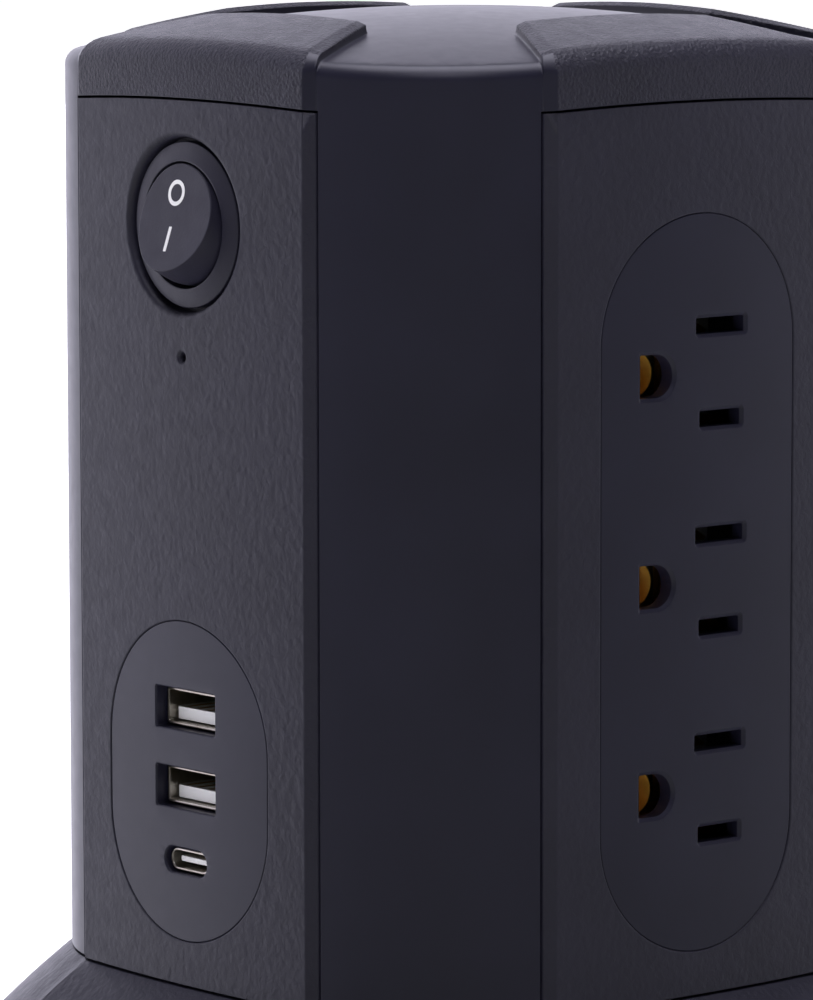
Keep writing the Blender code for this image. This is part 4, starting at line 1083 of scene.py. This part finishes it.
def outlet_holes():
    holes = []
    soft = chamfer(SLOT_CHAMFER, 0.42 * MM)
    for v in outlet_heights():
        for size, offset in ((UPPER_SLOT, BLADE_OFFSET), (LOWER_SLOT, -BLADE_OFFSET)):
            holes.append((lambda grow, s=size, at=(BLADE_U, v + offset):
                          rounded(*s, 0.18 * MM, at, grow, 3), soft))
        holes.append((lambda grow, at=v: ground_outline(at, grow), soft))
    return holes


def ground_contact_mesh(turn):
    """Three sprung sleeves on a strip."""
    front, radius, bore = 45.7 * MM, 3.2 * MM, 2.6 * MM
    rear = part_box("contact_ground_back")[0].y
    mesh = box_mesh((GROUND_U - 2.5 * MM, -rear - 0.8 * MM, 34 * MM), (GROUND_U + 2.5 * MM, -rear, 135 * MM),
                    0.12 * MM)
    sleeve = [(0, front), *mm([(0.30, 0)], front, bore),
              *mm([(-0.12, -0.04), (0, -0.2), (0, -0.9), (-0.2, -1.5)], front, radius),
              *mm([(-0.2, 1.2), (0, 0.8), (0, 0.4)], rear, radius), (0, rear + 0.4 * MM)]
    hollow = [(0, front + MM), *mm([(0.38, 1), (0.38, 0), (0.05, -0.6), (-0.25, -3)], front, bore),
              *mm([(-0.25, -0.5)], rear, bore), (0, rear - 0.5 * MM)]
    sleeves, hollows = ([turned_mesh(profile, facing("front", GROUND_U, v)) for v in outlet_heights()]
                        for profile in (sleeve, hollow))
    mesh = cut(fused(mesh, sleeves), hollows)
    mesh.transform(Matrix.Rotation(turn, 4, "Z"))
    return mesh


# ---- USB ports ----------------------------------------------------------------------------------
USB_A_SIZE, USB_C_SIZE = (13.1 * MM, 5.7 * MM), (9.2 * MM, 3.6 * MM)
PORT_FORWARD = 0.95 * MM                            # how far a shell's mouth reaches past the CAD solid
TONGUES = {"A": (1.30 * MM, 0.30 * MM, 0.15 * MM),  # a tongue's reach forward, extra half width and drop
           "C": (0.95 * MM, 0.0, 0.0)}
USB_A_V = {key: middle_of("usb_a_shell_" + key) for key in ("upper", "lower")}
USB_C_V = middle_of("usb_c_shell")


def usb_holes():
    soft = chamfer(0.22 * MM, 0.20 * MM)
    holes = [(lambda grow, at=(0, v): rounded(*USB_A_SIZE, 0.22 * MM, at, grow, 3), soft)
             for v in USB_A_V.values()]
    radius = USB_C_SIZE[1] / 2 - 0.01 * MM
    holes.append((lambda grow: rounded(*USB_C_SIZE, radius, (0, USB_C_V), grow, 12), soft))
    return holes


def sleeve_mesh(node, radius, sheet, steps, windows=()):
    """A connector's folded metal shell, with a lip that turns out a little at the front."""
    low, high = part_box(node)
    width, height = high.x - low.x, high.z - low.z
    front, rear = -low.y + PORT_FORWARD, -high.y
    centre = (0, (low.z + high.z) / 2)
    shell = Shell(front_place)
    inner_radius = max(0.15 * MM, radius - sheet)
    outer = [(0, rear), *mm([(0, -0.10), (-0.03, -0.03), (-0.10, 0)], front)]
    inner = [*mm([(0.12, 0), (0.06, -0.04), (0, -0.22)], front), (0, rear)]
    rings = []
    for edge, thinner, corner in ((outer, 0, radius), (inner, 2 * sheet, inner_radius)):
        for grow, depth in edge:
            outline = rounded(width - thinner, height - thinner, corner, centre, grow, steps)
            rings.append(shell.ring(outline, depth))
    shell.sweep(rings + rings[:1])
    mesh = shell.mesh()
    if windows:
        mesh = cut(mesh, [box_mesh((u - half, near - front, low.z - MM),
                                   (u + half, far - front, high.z + MM)) for u, half, near, far in windows])
    return mesh


def tube_mesh(rings, place=None, edge=0.0):
    """Rings of vertices joined one to the next, with a face over each end."""
    bm = bmesh.new()
    rings = [[bm.verts.new(point) for point in ring] for ring in rings]
    for first, second in zip(rings, rings[1:]):
        for i, (a, b) in enumerate(zip(first, second)):
            j = (i + 1) % len(first)
            bm.faces.new((a, first[j], second[j], b))
    bm.faces.new(rings[0][::-1])
    bm.faces.new(rings[-1])
    bmesh.ops.recalc_face_normals(bm, faces=bm.faces)
    if edge:
        bevel(bm, bm.edges[:], edge)
    return mesh_from(bm, place)


def spring_leaf(u, half, near, far, level, dip, sheet):
    """A springy tab in a shell's roof, bent into the mouth. Places are along the depth."""
    rows = []
    top = math.copysign(sheet, dip)
    for t, share in ((0, 0), (0.30, 0.15), (0.55, 0.75), (0.70, 1.0), (0.85, 0.8), (1.0, 0.35)):
        y, z = near + (far - near) * (1 - t), level + dip * share
        rows.append([(u + a, y, z + b) for a, b in ((-half, 0), (half, 0), (half, top), (-half, top))])
    return tube_mesh(rows, edge=0.03 * MM)


def usb_a_shell_mesh(key):
    node = "usb_a_shell_" + key
    low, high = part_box(node)
    front = low.y - PORT_FORWARD
    sheet = 0.4 * MM
    windows = [(u, 1.1 * MM, 2.2 * MM, 7.4 * MM) for u in (-3.1 * MM, 3.1 * MM)]
    leaves = [spring_leaf(u, half - 0.25 * MM, front + near + 0.4 * MM, front + far,
                          high.z - sheet + 0.25 * MM, -0.55 * MM, 0.22 * MM)
              for u, half, near, far in windows]
    return joined_mesh([sleeve_mesh(node, 0.5 * MM, sheet, 4, windows), *leaves])


def tongue_box(node, kind):
    reach, extra, drop = TONGUES[kind]
    low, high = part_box(node)
    return low - Vector((extra, reach, drop)), high + Vector((extra, 0, -drop))


def groove_centres(count, pitch):
    return [(i - (count - 1) / 2) * pitch for i in range(count)]


def tongue_mesh(node, kind, radius, groove):
    """The insulating tongue in a connector, with slots for its contacts on both faces."""
    low, high = tongue_box(node, kind)
    shell = Shell(plan_place)
    centre = (0, (low.y + high.y) / 2)
    size = (high.x - low.x, high.y - low.y)
    edge = 0.16 * MM
    rounded_edge = [(0, -edge), (edge * 0.3, -edge * 0.3), (edge, 0)]
    levels = [(low.z + inset, grow) for inset, grow in rounded_edge]
    levels += [(high.z - inset, grow) for inset, grow in reversed(rounded_edge)]
    rings = [shell.ring(rounded(*size, radius, centre, grow, 6), z) for z, grow in levels]
    shell.sweep(rings)
    shell.patch([rings[0]])
    shell.patch([rings[-1]])
    count, pitch, half, depth = groove
    return cut(shell.mesh(), [
        box_mesh((x - half, low.y + 0.5 * MM, z - depth), (x + half, high.y - 1.5 * MM, z + depth))
        for x in groove_centres(count, pitch) for z in (low.z, high.z)])


def pins_mesh(node, kind, groove):
    """The spring contacts that lie in a tongue's slots."""
    low, high = tongue_box(node, kind)
    count, pitch, half, depth = groove
    inset = 0.02 * MM
    bars = []
    for x in groove_centres(count, pitch):
        for bottom, top in ((low.z, low.z + depth), (high.z - depth, high.z)):
            bars.append(box_mesh((x - half + inset, low.y + 0.55 * MM, bottom + inset),
                                 (x + half - inset, high.y - 1.6 * MM, top - inset), inset))
    return joined_mesh(bars)


# ---- rocker switch ------------------------------------------------------------------------------
PIVOT_DEPTH = -PIVOTS["rocker_tilt"].y
ROCKER_REST = (Matrix.Translation((0, -PIVOT_DEPTH, SWITCH_V))
               @ Matrix.Rotation(math.radians(-15.3), 4, "X"))
DISH_FLOOR, DISH_RADIUS = 3.76 * MM, 43 * MM
ROCKER_SIDE = [(-2.4, 8.0), (-1.0, 8.4), (0.6, 8.4), (2.6, 8.0), (4.3, 7.6), (6.0, 7.4)]
ROCKER_ROUND = 0.20 * MM
MARK_RISE = 0.025 * MM
RIM_DEPTH, BEZEL_EDGE = 50.0 * MM, 49.25 * MM
BEZEL_OUTER = BEZEL_RADIUS + 0.2 * MM
SWITCH_BORE = 8.7 * MM


def dish(u, v):
    return DISH_FLOOR + v * v / (2 * DISH_RADIUS)


def side_radius(height):
    heights, radii = zip(*ROCKER_SIDE)
    return float(np.interp(height / MM, heights, radii)) * MM


def rocker_mesh():
    shell = Shell(front_place)
    rims = []
    for i in range(120):
        radius = 7.6 * MM
        for _ in range(3):                          # the rim's radius and height settle together
            radius = side_radius(dish(0, radius * math.sin(math.radians(3 * i))))
        rims.append((3 * i, radius))

    def ring(radius_of, height):
        return shell.ring([polar(radius_of(rim), a) for a, rim in rims], height)

    face = [ring(lambda rim, k=k: (rim - 1.3 * ROCKER_ROUND) * k / 12, dish) for k in range(1, 12)]
    for inset, drop in reversed(rounding(ROCKER_ROUND, 5)):
        face.append(ring(lambda rim, i=inset: rim - i, lowered(dish, drop)))
    for share in (0.3, 0.65, 1.0):
        made = []
        for a, rim in rims:
            top = dish(0, polar(rim, a)[1]) - ROCKER_ROUND
            height = top + share * (2.6 * MM - top)
            made += shell.ring([polar(side_radius(height), a)], height)
        face.append(made)
    for radius, height in mm([(8.22, 1.5), (8.4, 0.6), (8.4, -1.0), (8.22, -1.8), (8.0, -2.3), (7.9, -2.4)]):
        face.append(ring(lambda rim, r=radius: r, height))
    shell.sweep(face)
    centre = shell.bm.verts.new(front_place(0, 0, DISH_FLOOR))
    for a, b in zip(face[0], face[0][1:] + face[0][:1]):
        shell.bm.faces.new((centre, a, b))
    foot = [shell.ring(rounded(6 * MM, 5.6 * MM, 0.6 * MM, (0, 0), grow), height)
            for grow, height in mm([(0.3, -2.4), (0, -2.7), (0, -6.0), (-0.06, -6.14), (-0.2, -6.2)])]
    shell.sweep(foot)
    shell.patch([face[-1], foot[0]])
    bore = [shell.ring(circle(radius, steps=48), height)
            for radius, height in mm([(2.05, -6.2), (1.9, -6.05), (1.9, -1.5)])]
    shell.sweep(bore)
    shell.patch([foot[-1], bore[0]])
    shell.patch([bore[-1]])
    mesh = shell.mesh()
    mesh.transform(ROCKER_REST)
    return mesh


def mark_mesh(outer, inner=None):
    """A thin printed mark that follows the rocker's dished face. Outlines are functions of grow."""
    shell = Shell(front_place)
    edge = MARK_RISE * 0.6
    sides = []
    for outline, sign in ((outer, -1), (inner, 1)):
        if outline:
            rings = [shell.ring(outline(grow), lowered(dish, drop)) for grow, drop in
                     ((0, MARK_RISE), (0, edge - MARK_RISE), (sign * edge, -MARK_RISE))]
            shell.sweep(rings)
            sides.append(rings)
    shell.patch([rings[-1] for rings in sides])
    shell.patch([rings[0] for rings in sides])
    mesh = shell.mesh()
    mesh.transform(ROCKER_REST)
    return mesh


def bezel_mesh():
    floor = SWITCH_REAR + 1.6 * MM
    profile = [(0, floor), (SWITCH_BORE, floor),
               *mm([(0, -0.10), (0.03, -0.03), (0.10, 0), (0.32, -0.03)], RIM_DEPTH, SWITCH_BORE),
               *mm([(-0.15, 0.075), (-0.04, 0), (0, -0.08)], BEZEL_EDGE, BEZEL_OUTER),
               (BEZEL_OUTER, RECESS_FLOOR + GAP), (BARREL_RADIUS, RECESS_FLOOR + GAP),
               *mm([(0, 0.2), (-0.2, 0)], SWITCH_REAR, BARREL_RADIUS), (0, SWITCH_REAR)]
    rise = middle_of("switch_terminal_load") - middle_of("switch_terminal_line")
    slits = [box_mesh((-2.7 * MM, -SWITCH_REAR - 3 * MM, v - 0.7 * MM),
                      (2.7 * MM, -SWITCH_REAR + 2 * MM, v + 0.7 * MM)) for v in (SWITCH_V, SWITCH_V + rise)]
    return cut(turned_mesh(profile, facing("front", 0, SWITCH_V), 128), slits)


def helix_mesh(radius, wire, turns, start, end, place, per_turn=36, sides=12):
    """A coiled spring along its own Z, with closed ends."""
    rings = []
    count = round(turns * per_turn)
    section = circle(wire, steps=sides)
    for i in range(count + 1):
        a = 2 * math.pi * i / per_turn
        out = Vector((math.cos(a), math.sin(a), 0))
        middle = out * radius + Vector((0, 0, start + (end - start) * i / count))
        rings.append([middle + out * across + Vector((0, 0, up)) for across, up in section])
    return tube_mesh(rings, place)


# ---- small turned pieces ------------------------------------------------------------------------
def light_pipe_mesh():
    profile = [(0, 49.0), (0.20, 48.96), (0.33, 48.85), (0.38, 48.65), (0.38, 47.75), (0.42, 47.7),
               (1.9, 47.7), (2.0, 47.6), (2.0, 46.3), (1.9, 46.2), (0, 46.2)]
    return turned_mesh(mm(profile), facing("front", 0, LED_V), 48)


def led_mesh():
    profile = [(0, 45.8), (0.5, 45.72), (0.95, 45.5), (1.28, 45.1), (1.45, 44.6), (1.5, 44.0), (1.5, 42.05),
               (1.55, 42.0), (1.85, 42.0), (1.9, 41.95), (1.9, 41.15), (1.85, 41.1), (0, 41.1)]
    return turned_mesh(mm(profile), facing("front", 0, LED_V), 48)


def gland_mesh():
    profile = mm([(4.15, -0.35), (4.3, -0.1), (4.6, 0), (5.9, 0), (6.2, -0.1), (6.3, -0.4), (6.3, -1.4),
                  (6.2, -1.5), (5.5, -1.5)], PORT_FACE)
    profile += mm([(5.5, 50.3), (5.2, 50), (4.2, 50), (4.0, 50.2)])
    profile += mm([(4.0, -1.2), (4.15, -0.35)], PORT_FACE)
    return turned_mesh(profile, back_place(GLAND_U, PORT_V), 72)


def reset_mesh():
    low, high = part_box("reset_button")
    radius = (high.x - low.x) / 2
    profile = mm([(0, -0.22), (1.2, -0.19), (2.0, -0.08), (2.4, 0), (2.8, -0.03), (3.15, -0.2)], high.y)
    profile += mm([(-0.04, -0.55), (0, -0.9)], high.y, radius) + mm([(0, 0.2), (-0.2, 0)], low.y, radius)
    return turned_mesh([*profile, (0, low.y)], back_place(BREAKER_U, PORT_V))


def breaker_mesh():
    face = PORT_FACE - 2 * MM
    body = box_mesh((BREAKER_U - 9 * MM, 28 * MM, 6.6 * MM), (BREAKER_U + 9 * MM, 50 * MM, 21.6 * MM),
                    0.5 * MM, 3)
    blades = [box_mesh((x - 0.4 * MM, 21 * MM, 10 * MM), (x + 0.4 * MM, 28.5 * MM, 16 * MM))
              for x in (BREAKER_U - 5 * MM, BREAKER_U + 5 * MM)]
    collar = mm([(0, 0), (5.0, 0), (5.2, -0.2)], face) + mm([(5.2, 49.5), (0, 49.5)])
    bore = mm([(0, 70), (4.1, 70)]) + mm([(4.1, 0.05), (3.7, -0.3)], face) + mm([(3.7, 44), (0, 44)])
    collar, bore = (turned_mesh(profile, back_place(BREAKER_U, PORT_V)) for profile in (collar, bore))
    return cut(fused(body, [collar, *blades]), [bore])


def varistor_mesh(node):
    """A dipped disc on two leads."""
    low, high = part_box(node)
    x, z = (low.x + high.x) / 2, (low.z + high.z) / 2
    radius = (high.x - low.x) / 2
    half = 2.1 * MM
    middle = high.y - half
    profile = [(0, half * 0.93), (radius * 0.45, half)]
    for i in range(1, 8):
        out, height = polar(half, 90 - 180 * i / 8)
        profile.append((radius - half + out, height))
    profile += [(radius * 0.45, -half), (0, -half * 0.93)]
    top = middle - half * 0.4
    lead = [(0, top), (0.4 * MM, top), *mm([(0.4, 0.1), (0.3, 0), (0, 0)], low.y)]
    return fused(turned_mesh(profile, back_place(x, z, middle)),
                 [turned_mesh(lead, back_place(x + dx, z - 3 * MM), 24) for dx in (-3.6 * MM, 3.6 * MM)])


# ---- putting the pieces in place ----------------------------------------------------------------
def turn_of(side):
    return math.radians(90 * SIDES[side])


housing = piece("housing", housing_mesh(), "housing_satin", stands_for=["tower_housing"], sharp=32)
housing.data.materials.append(materials["pad"])
for polygon in housing.data.polygons:
    x, y, z = polygon.center
    v, u = max(abs(x), abs(y)), min(abs(x), abs(y))
    edge = min(PAD_INNER_HALF + (v - PAD_INNER) * SIDE_SLOPE - 0.1 * MM, FACE_HALF)
    if z > PANEL_TOP - MM and v > PAD_INNER + 0.1 * MM and u < edge and polygon.normal.z > -0.3:
        polygon.material_index = 1
piece("base", base_mesh(), "panel_textured", stands_for=["base_shell"], sharp=14)
piece("base_plate", plate_mesh(), "panel_textured", stands_for=["bottom_plate"])
for number, (foot_at, screw_at) in enumerate(zip(diagonals(FOOT_RADIAL), diagonals(SCREW_RADIAL)), 1):
    piece(f"foot_{number}", foot_mesh(*foot_at), "foot_rubber", stands_for=[f"rubber_foot_{number}"])
    piece(f"screw_{number}", screw_mesh(*screw_at), "steel", stands_for=[f"base_screw_{number}"])

piece("front_panel", panel_mesh(USB_STADIUM, True, 0.0), "panel_textured", stands_for=["switch_panel"])
for side in OUTLET_SIDES:
    turn = turn_of(side)
    piece(f"panel_{side}", panel_mesh(OUTLET_STADIUM, False, turn), "panel_textured",
          stands_for=[f"outlet_panel_{side}"])
    face = insert_mesh(OUTLET_STADIUM, OUTLET_MODULE, MODULE_REAR, outlet_holes(), True, turn)
    piece(f"receptacle_{side}", face, "housing_satin", stands_for=[f"receptacle_face_{side}"])
    sleeves = piece(f"ground_sleeves_{side}", ground_contact_mesh(turn), "contact_brass",
                    stands_for=[f"contact_ground_{side}"])
    sleeves.data.materials[0] = materials["ground_brass"]

piece("usb_insert", insert_mesh(USB_STADIUM, USB_MODULE, USB_REAR, usb_holes(), False, 0.0), "housing_satin",
      stands_for=["usb_face"])
# a tongue's grooves on each face: how many, their pitch, half width and depth
A_GROOVES = (4, 2.5 * MM, 0.55 * MM, 0.16 * MM)
C_GROOVES = (10, 0.5 * MM, 0.13 * MM, 0.08 * MM)
for key in ("upper", "lower"):
    piece(f"usb_a_sleeve_{key}", usb_a_shell_mesh(key), "steel", stands_for=[f"usb_a_shell_{key}"])
    node = f"usb_a_tongue_{key}"
    piece(f"usb_a_block_{key}", tongue_mesh(node, "A", 0.85 * MM, A_GROOVES), "white_plastic",
          stands_for=[node])
    piece(f"usb_a_pins_{key}", pins_mesh(node, "A", A_GROOVES), "contact_brass")
piece("usb_c_sleeve", sleeve_mesh("usb_c_shell", 1.49 * MM, 0.35 * MM, 12), "steel",
      stands_for=["usb_c_shell"])
piece("usb_c_block", tongue_mesh("usb_c_tongue", "C", 0.35 * MM, C_GROOVES), "white_plastic",
      stands_for=["usb_c_tongue"])
piece("usb_c_pins", pins_mesh("usb_c_tongue", "C", C_GROOVES), "contact_brass")

piece("bezel", bezel_mesh(), "switch_black", stands_for=["switch_body"])
piece("rocker_button", rocker_mesh(), "switch_black", "rocker", ["switch_rocker"])
OFF_MARK, ON_MARK = (-0.6 * MM, 3.5 * MM), (-0.5 * MM, -2.95 * MM)
off_mark = mark_mesh(lambda g: circle(1.80 * MM + g, OFF_MARK, 72),
                     lambda g: circle(1.22 * MM + g, OFF_MARK, 72))
piece("off_mark", off_mark, "white_plastic", "rocker")
on_mark = mark_mesh(lambda g: rounded(0.60 * MM, 3.5 * MM, 0.06 * MM, ON_MARK, g, 3))
piece("on_mark", on_mark, "white_plastic", "rocker")
PLUNGER = [(0, 4.3), (0.6, 4.3), (0.9, 4.1), (0.9, 2.8), (1.5, 2.8), (1.6, 2.7), (1.6, 1.2), (1.2, 0.5),
           (0.8, 0.12), (0.5, 0), (0, 0)]
plunger_place = ROCKER_REST @ facing("front", 0, 0, -9.9 * MM)
piece("rocker_plunger", turned_mesh(mm(PLUNGER), plunger_place, 48), "white_plastic", "rocker",
      ["switch_plunger"])
spring = helix_mesh(1.4 * MM, 0.18 * MM, 3, 2.0 * MM, 6.6 * MM, ROCKER_REST @ back_place(0, 0))
piece("rocker_spring", spring, "steel", "rocker", ["switch_spring"])
piece("light_pipe", light_pipe_mesh(), "indicator_lens", stands_for=["indicator_light_pipe"])
piece("led", led_mesh(), "white_plastic", stands_for=["indicator_led"])
piece("gland", gland_mesh(), "foot_rubber", stands_for=["cord_gland"])
piece("reset_cap", reset_mesh(), "switch_black", "reset_button", ["reset_button"])
piece("breaker", breaker_mesh(), "inner_plastic", stands_for=["breaker_body"])
for number in (1, 2, 3):
    piece(f"varistor_disc_{number}", varistor_mesh(f"varistor_{number}"), "varistor_blue",
          stands_for=[f"varistor_{number}"])

# the CAD solids that stay, inside the tower
KEPT = {row["node"]: row["material_slot"] for row in frame["record"]["subparts"]}
for name, node in frame["nodes"].items():
    if node.hide_render:
        continue
    node.data.materials.clear()
    node.data.materials.append(materials[KEPT[name]])
    weld = node.modifiers.new("weld", "WELD")
    weld.merge_threshold = 0.001 * MM
    if name.startswith("wire"):
        round_off = node.modifiers.new("round off", "SUBSURF")
        round_off.levels = round_off.render_levels = 2
    else:
        edges = node.modifiers.new("edges", "BEVEL")
        edges.width = 0.10 * MM
        edges.segments = 2
        edges.limit_method = "ANGLE"
        edges.angle_limit = math.radians(35)


# ---- camera, floor and light --------------------------------------------------------------------
CAMERA_AT = Vector((0.646808, -0.547408, 0.192804))
CAMERA_LENS = 215.494
CAMERA_AZIMUTH, CAMERA_FALL, CAMERA_ROLL = 50.2974, 6.8066, -0.0921
LIGHT_TINT = (0.975, 0.95, 1.13)
AMBIENT, FLOOR_GLOW = 0.01, 0.28                    # the dim room, and the pale floor that the sides reflect
# name, direction round the tower (degrees), height, distance, size and radiance
LIGHTS = [("left", 208, 0.2, 2.4, (1.5, 3.0), 1.47),
          ("right", 68, 0.5, 2.4, (1.3, 2.0), 0.92),
          ("back", 148, 0.3, 2.8, (3.8, 2.6), 2.15),
          ("above", 140, 2.4, 0.4, (2.0, 2.0), 4.0),
          ("rim", 318, 2.4, 1.6, (0.9, 1.1), 3.6)]


def make_camera():
    azimuth, fall, roll = (math.radians(value) for value in (CAMERA_AZIMUTH, CAMERA_FALL, CAMERA_ROLL))
    ahead = Vector((-math.sin(azimuth) * math.cos(fall), math.cos(azimuth) * math.cos(fall),
                    -math.sin(fall)))
    level = Vector((math.cos(azimuth), math.sin(azimuth), 0))
    raised = level.cross(ahead)
    right = math.cos(roll) * level + math.sin(roll) * raised
    up = math.cos(roll) * raised - math.sin(roll) * level
    camera = bpy.data.cameras.new("camera")
    camera.lens = CAMERA_LENS
    camera.sensor_width = 36
    camera.clip_start = 0.01
    holder = bpy.data.objects.new("camera", camera)
    turn = Matrix((right, up, -ahead)).transposed().to_4x4()
    holder.matrix_world = Matrix.Translation(CAMERA_AT) @ turn
    bpy.context.scene.collection.objects.link(holder)
    bpy.context.scene.camera = holder


def softbox(name, towards, height, distance, size, radiance):
    """A soft light in a direction round the tower (degrees from +X), aimed at its middle."""
    light = bpy.data.lights.new(name, "AREA")
    light.shape = "RECTANGLE"
    light.size, light.size_y = size
    light.energy = radiance * math.pi * size[0] * size[1]
    light.color = LIGHT_TINT
    holder = bpy.data.objects.new(name, light)
    angle = math.radians(towards)
    place = Vector((distance * math.cos(angle), distance * math.sin(angle), height))
    aim = Vector((0, 0, 0.09)) - place
    holder.matrix_world = Matrix.Translation(place) @ aim.to_track_quat("-Z", "Y").to_matrix().to_4x4()
    holder.visible_camera = False
    bpy.context.scene.collection.objects.link(holder)


def make_floor():
    mesh = turned_mesh([(0, 0), (2, 0), (5, 0), (9, 0), (9, -0.05), (0, -0.05)], Matrix.Identity(4), 96)
    floor = bpy.data.objects.new("floor", mesh)
    bpy.context.scene.collection.objects.link(floor)
    pale = Recipe("pale_floor_painted_shade", 0.9, specular=0.1)
    pale.colours(pale.noise(3, 2.0), (0.3, (0.88, 0.88, 0.88)), (0.7, (0.90, 0.90, 0.90)))
    # The floor glows by itself, more weakly near the tower. This is painted shade round the tower's foot, under
    # the real contact shadow.
    pale.shader.inputs["Emission Color"].default_value = (1, 1, 1, 1)
    distance = pale.node("ShaderNodeVectorMath", {0: pale.space}, operation="LENGTH").outputs["Value"]
    glow = pale.remapped(distance, 0.08, 0.50, 0.60, 1.0)
    pale.tree.links.new(glow, pale.shader.inputs["Emission Strength"])
    floor.visible_glossy = False
    floor.visible_shadow = False
    mesh.materials.append(pale.material)


def make_surroundings():
    world = bpy.data.worlds.new("studio")
    bpy.context.scene.world = world
    world.use_nodes = True
    tree = world.node_tree
    tree.nodes.clear()
    path = tree.nodes.new("ShaderNodeLightPath")
    seen = tree.nodes.new("ShaderNodeBackground")
    seen.inputs["Color"].default_value = (1, 1, 1, 1)
    seen.inputs["Strength"].default_value = 1.0
    lit = tree.nodes.new("ShaderNodeBackground")
    lit.inputs["Color"].default_value = (1, 1, 1, 1)
    direction = tree.nodes.new("ShaderNodeSeparateXYZ")
    space = tree.nodes.new("ShaderNodeTexCoord")
    tree.links.new(space.outputs["Generated"], direction.inputs[0])
    glow = tree.nodes.new("ShaderNodeMapRange")
    for key, value in {"From Min": -0.30, "From Max": 0.0, "To Min": FLOOR_GLOW, "To Max": AMBIENT}.items():
        glow.inputs[key].default_value = value
    tree.links.new(direction.outputs["Z"], glow.inputs["Value"])
    tree.links.new(glow.outputs["Result"], lit.inputs["Strength"])
    mix = tree.nodes.new("ShaderNodeMixShader")
    out = tree.nodes.new("ShaderNodeOutputWorld")
    tree.links.new(path.outputs["Is Camera Ray"], mix.inputs["Fac"])
    tree.links.new(lit.outputs[0], mix.inputs[1])
    tree.links.new(seen.outputs[0], mix.inputs[2])
    tree.links.new(mix.outputs[0], out.inputs["Surface"])


make_camera()
make_floor()
make_surroundings()
for light in LIGHTS:
    softbox(*light)
bpy.context.scene.view_settings.view_transform = "Standard"
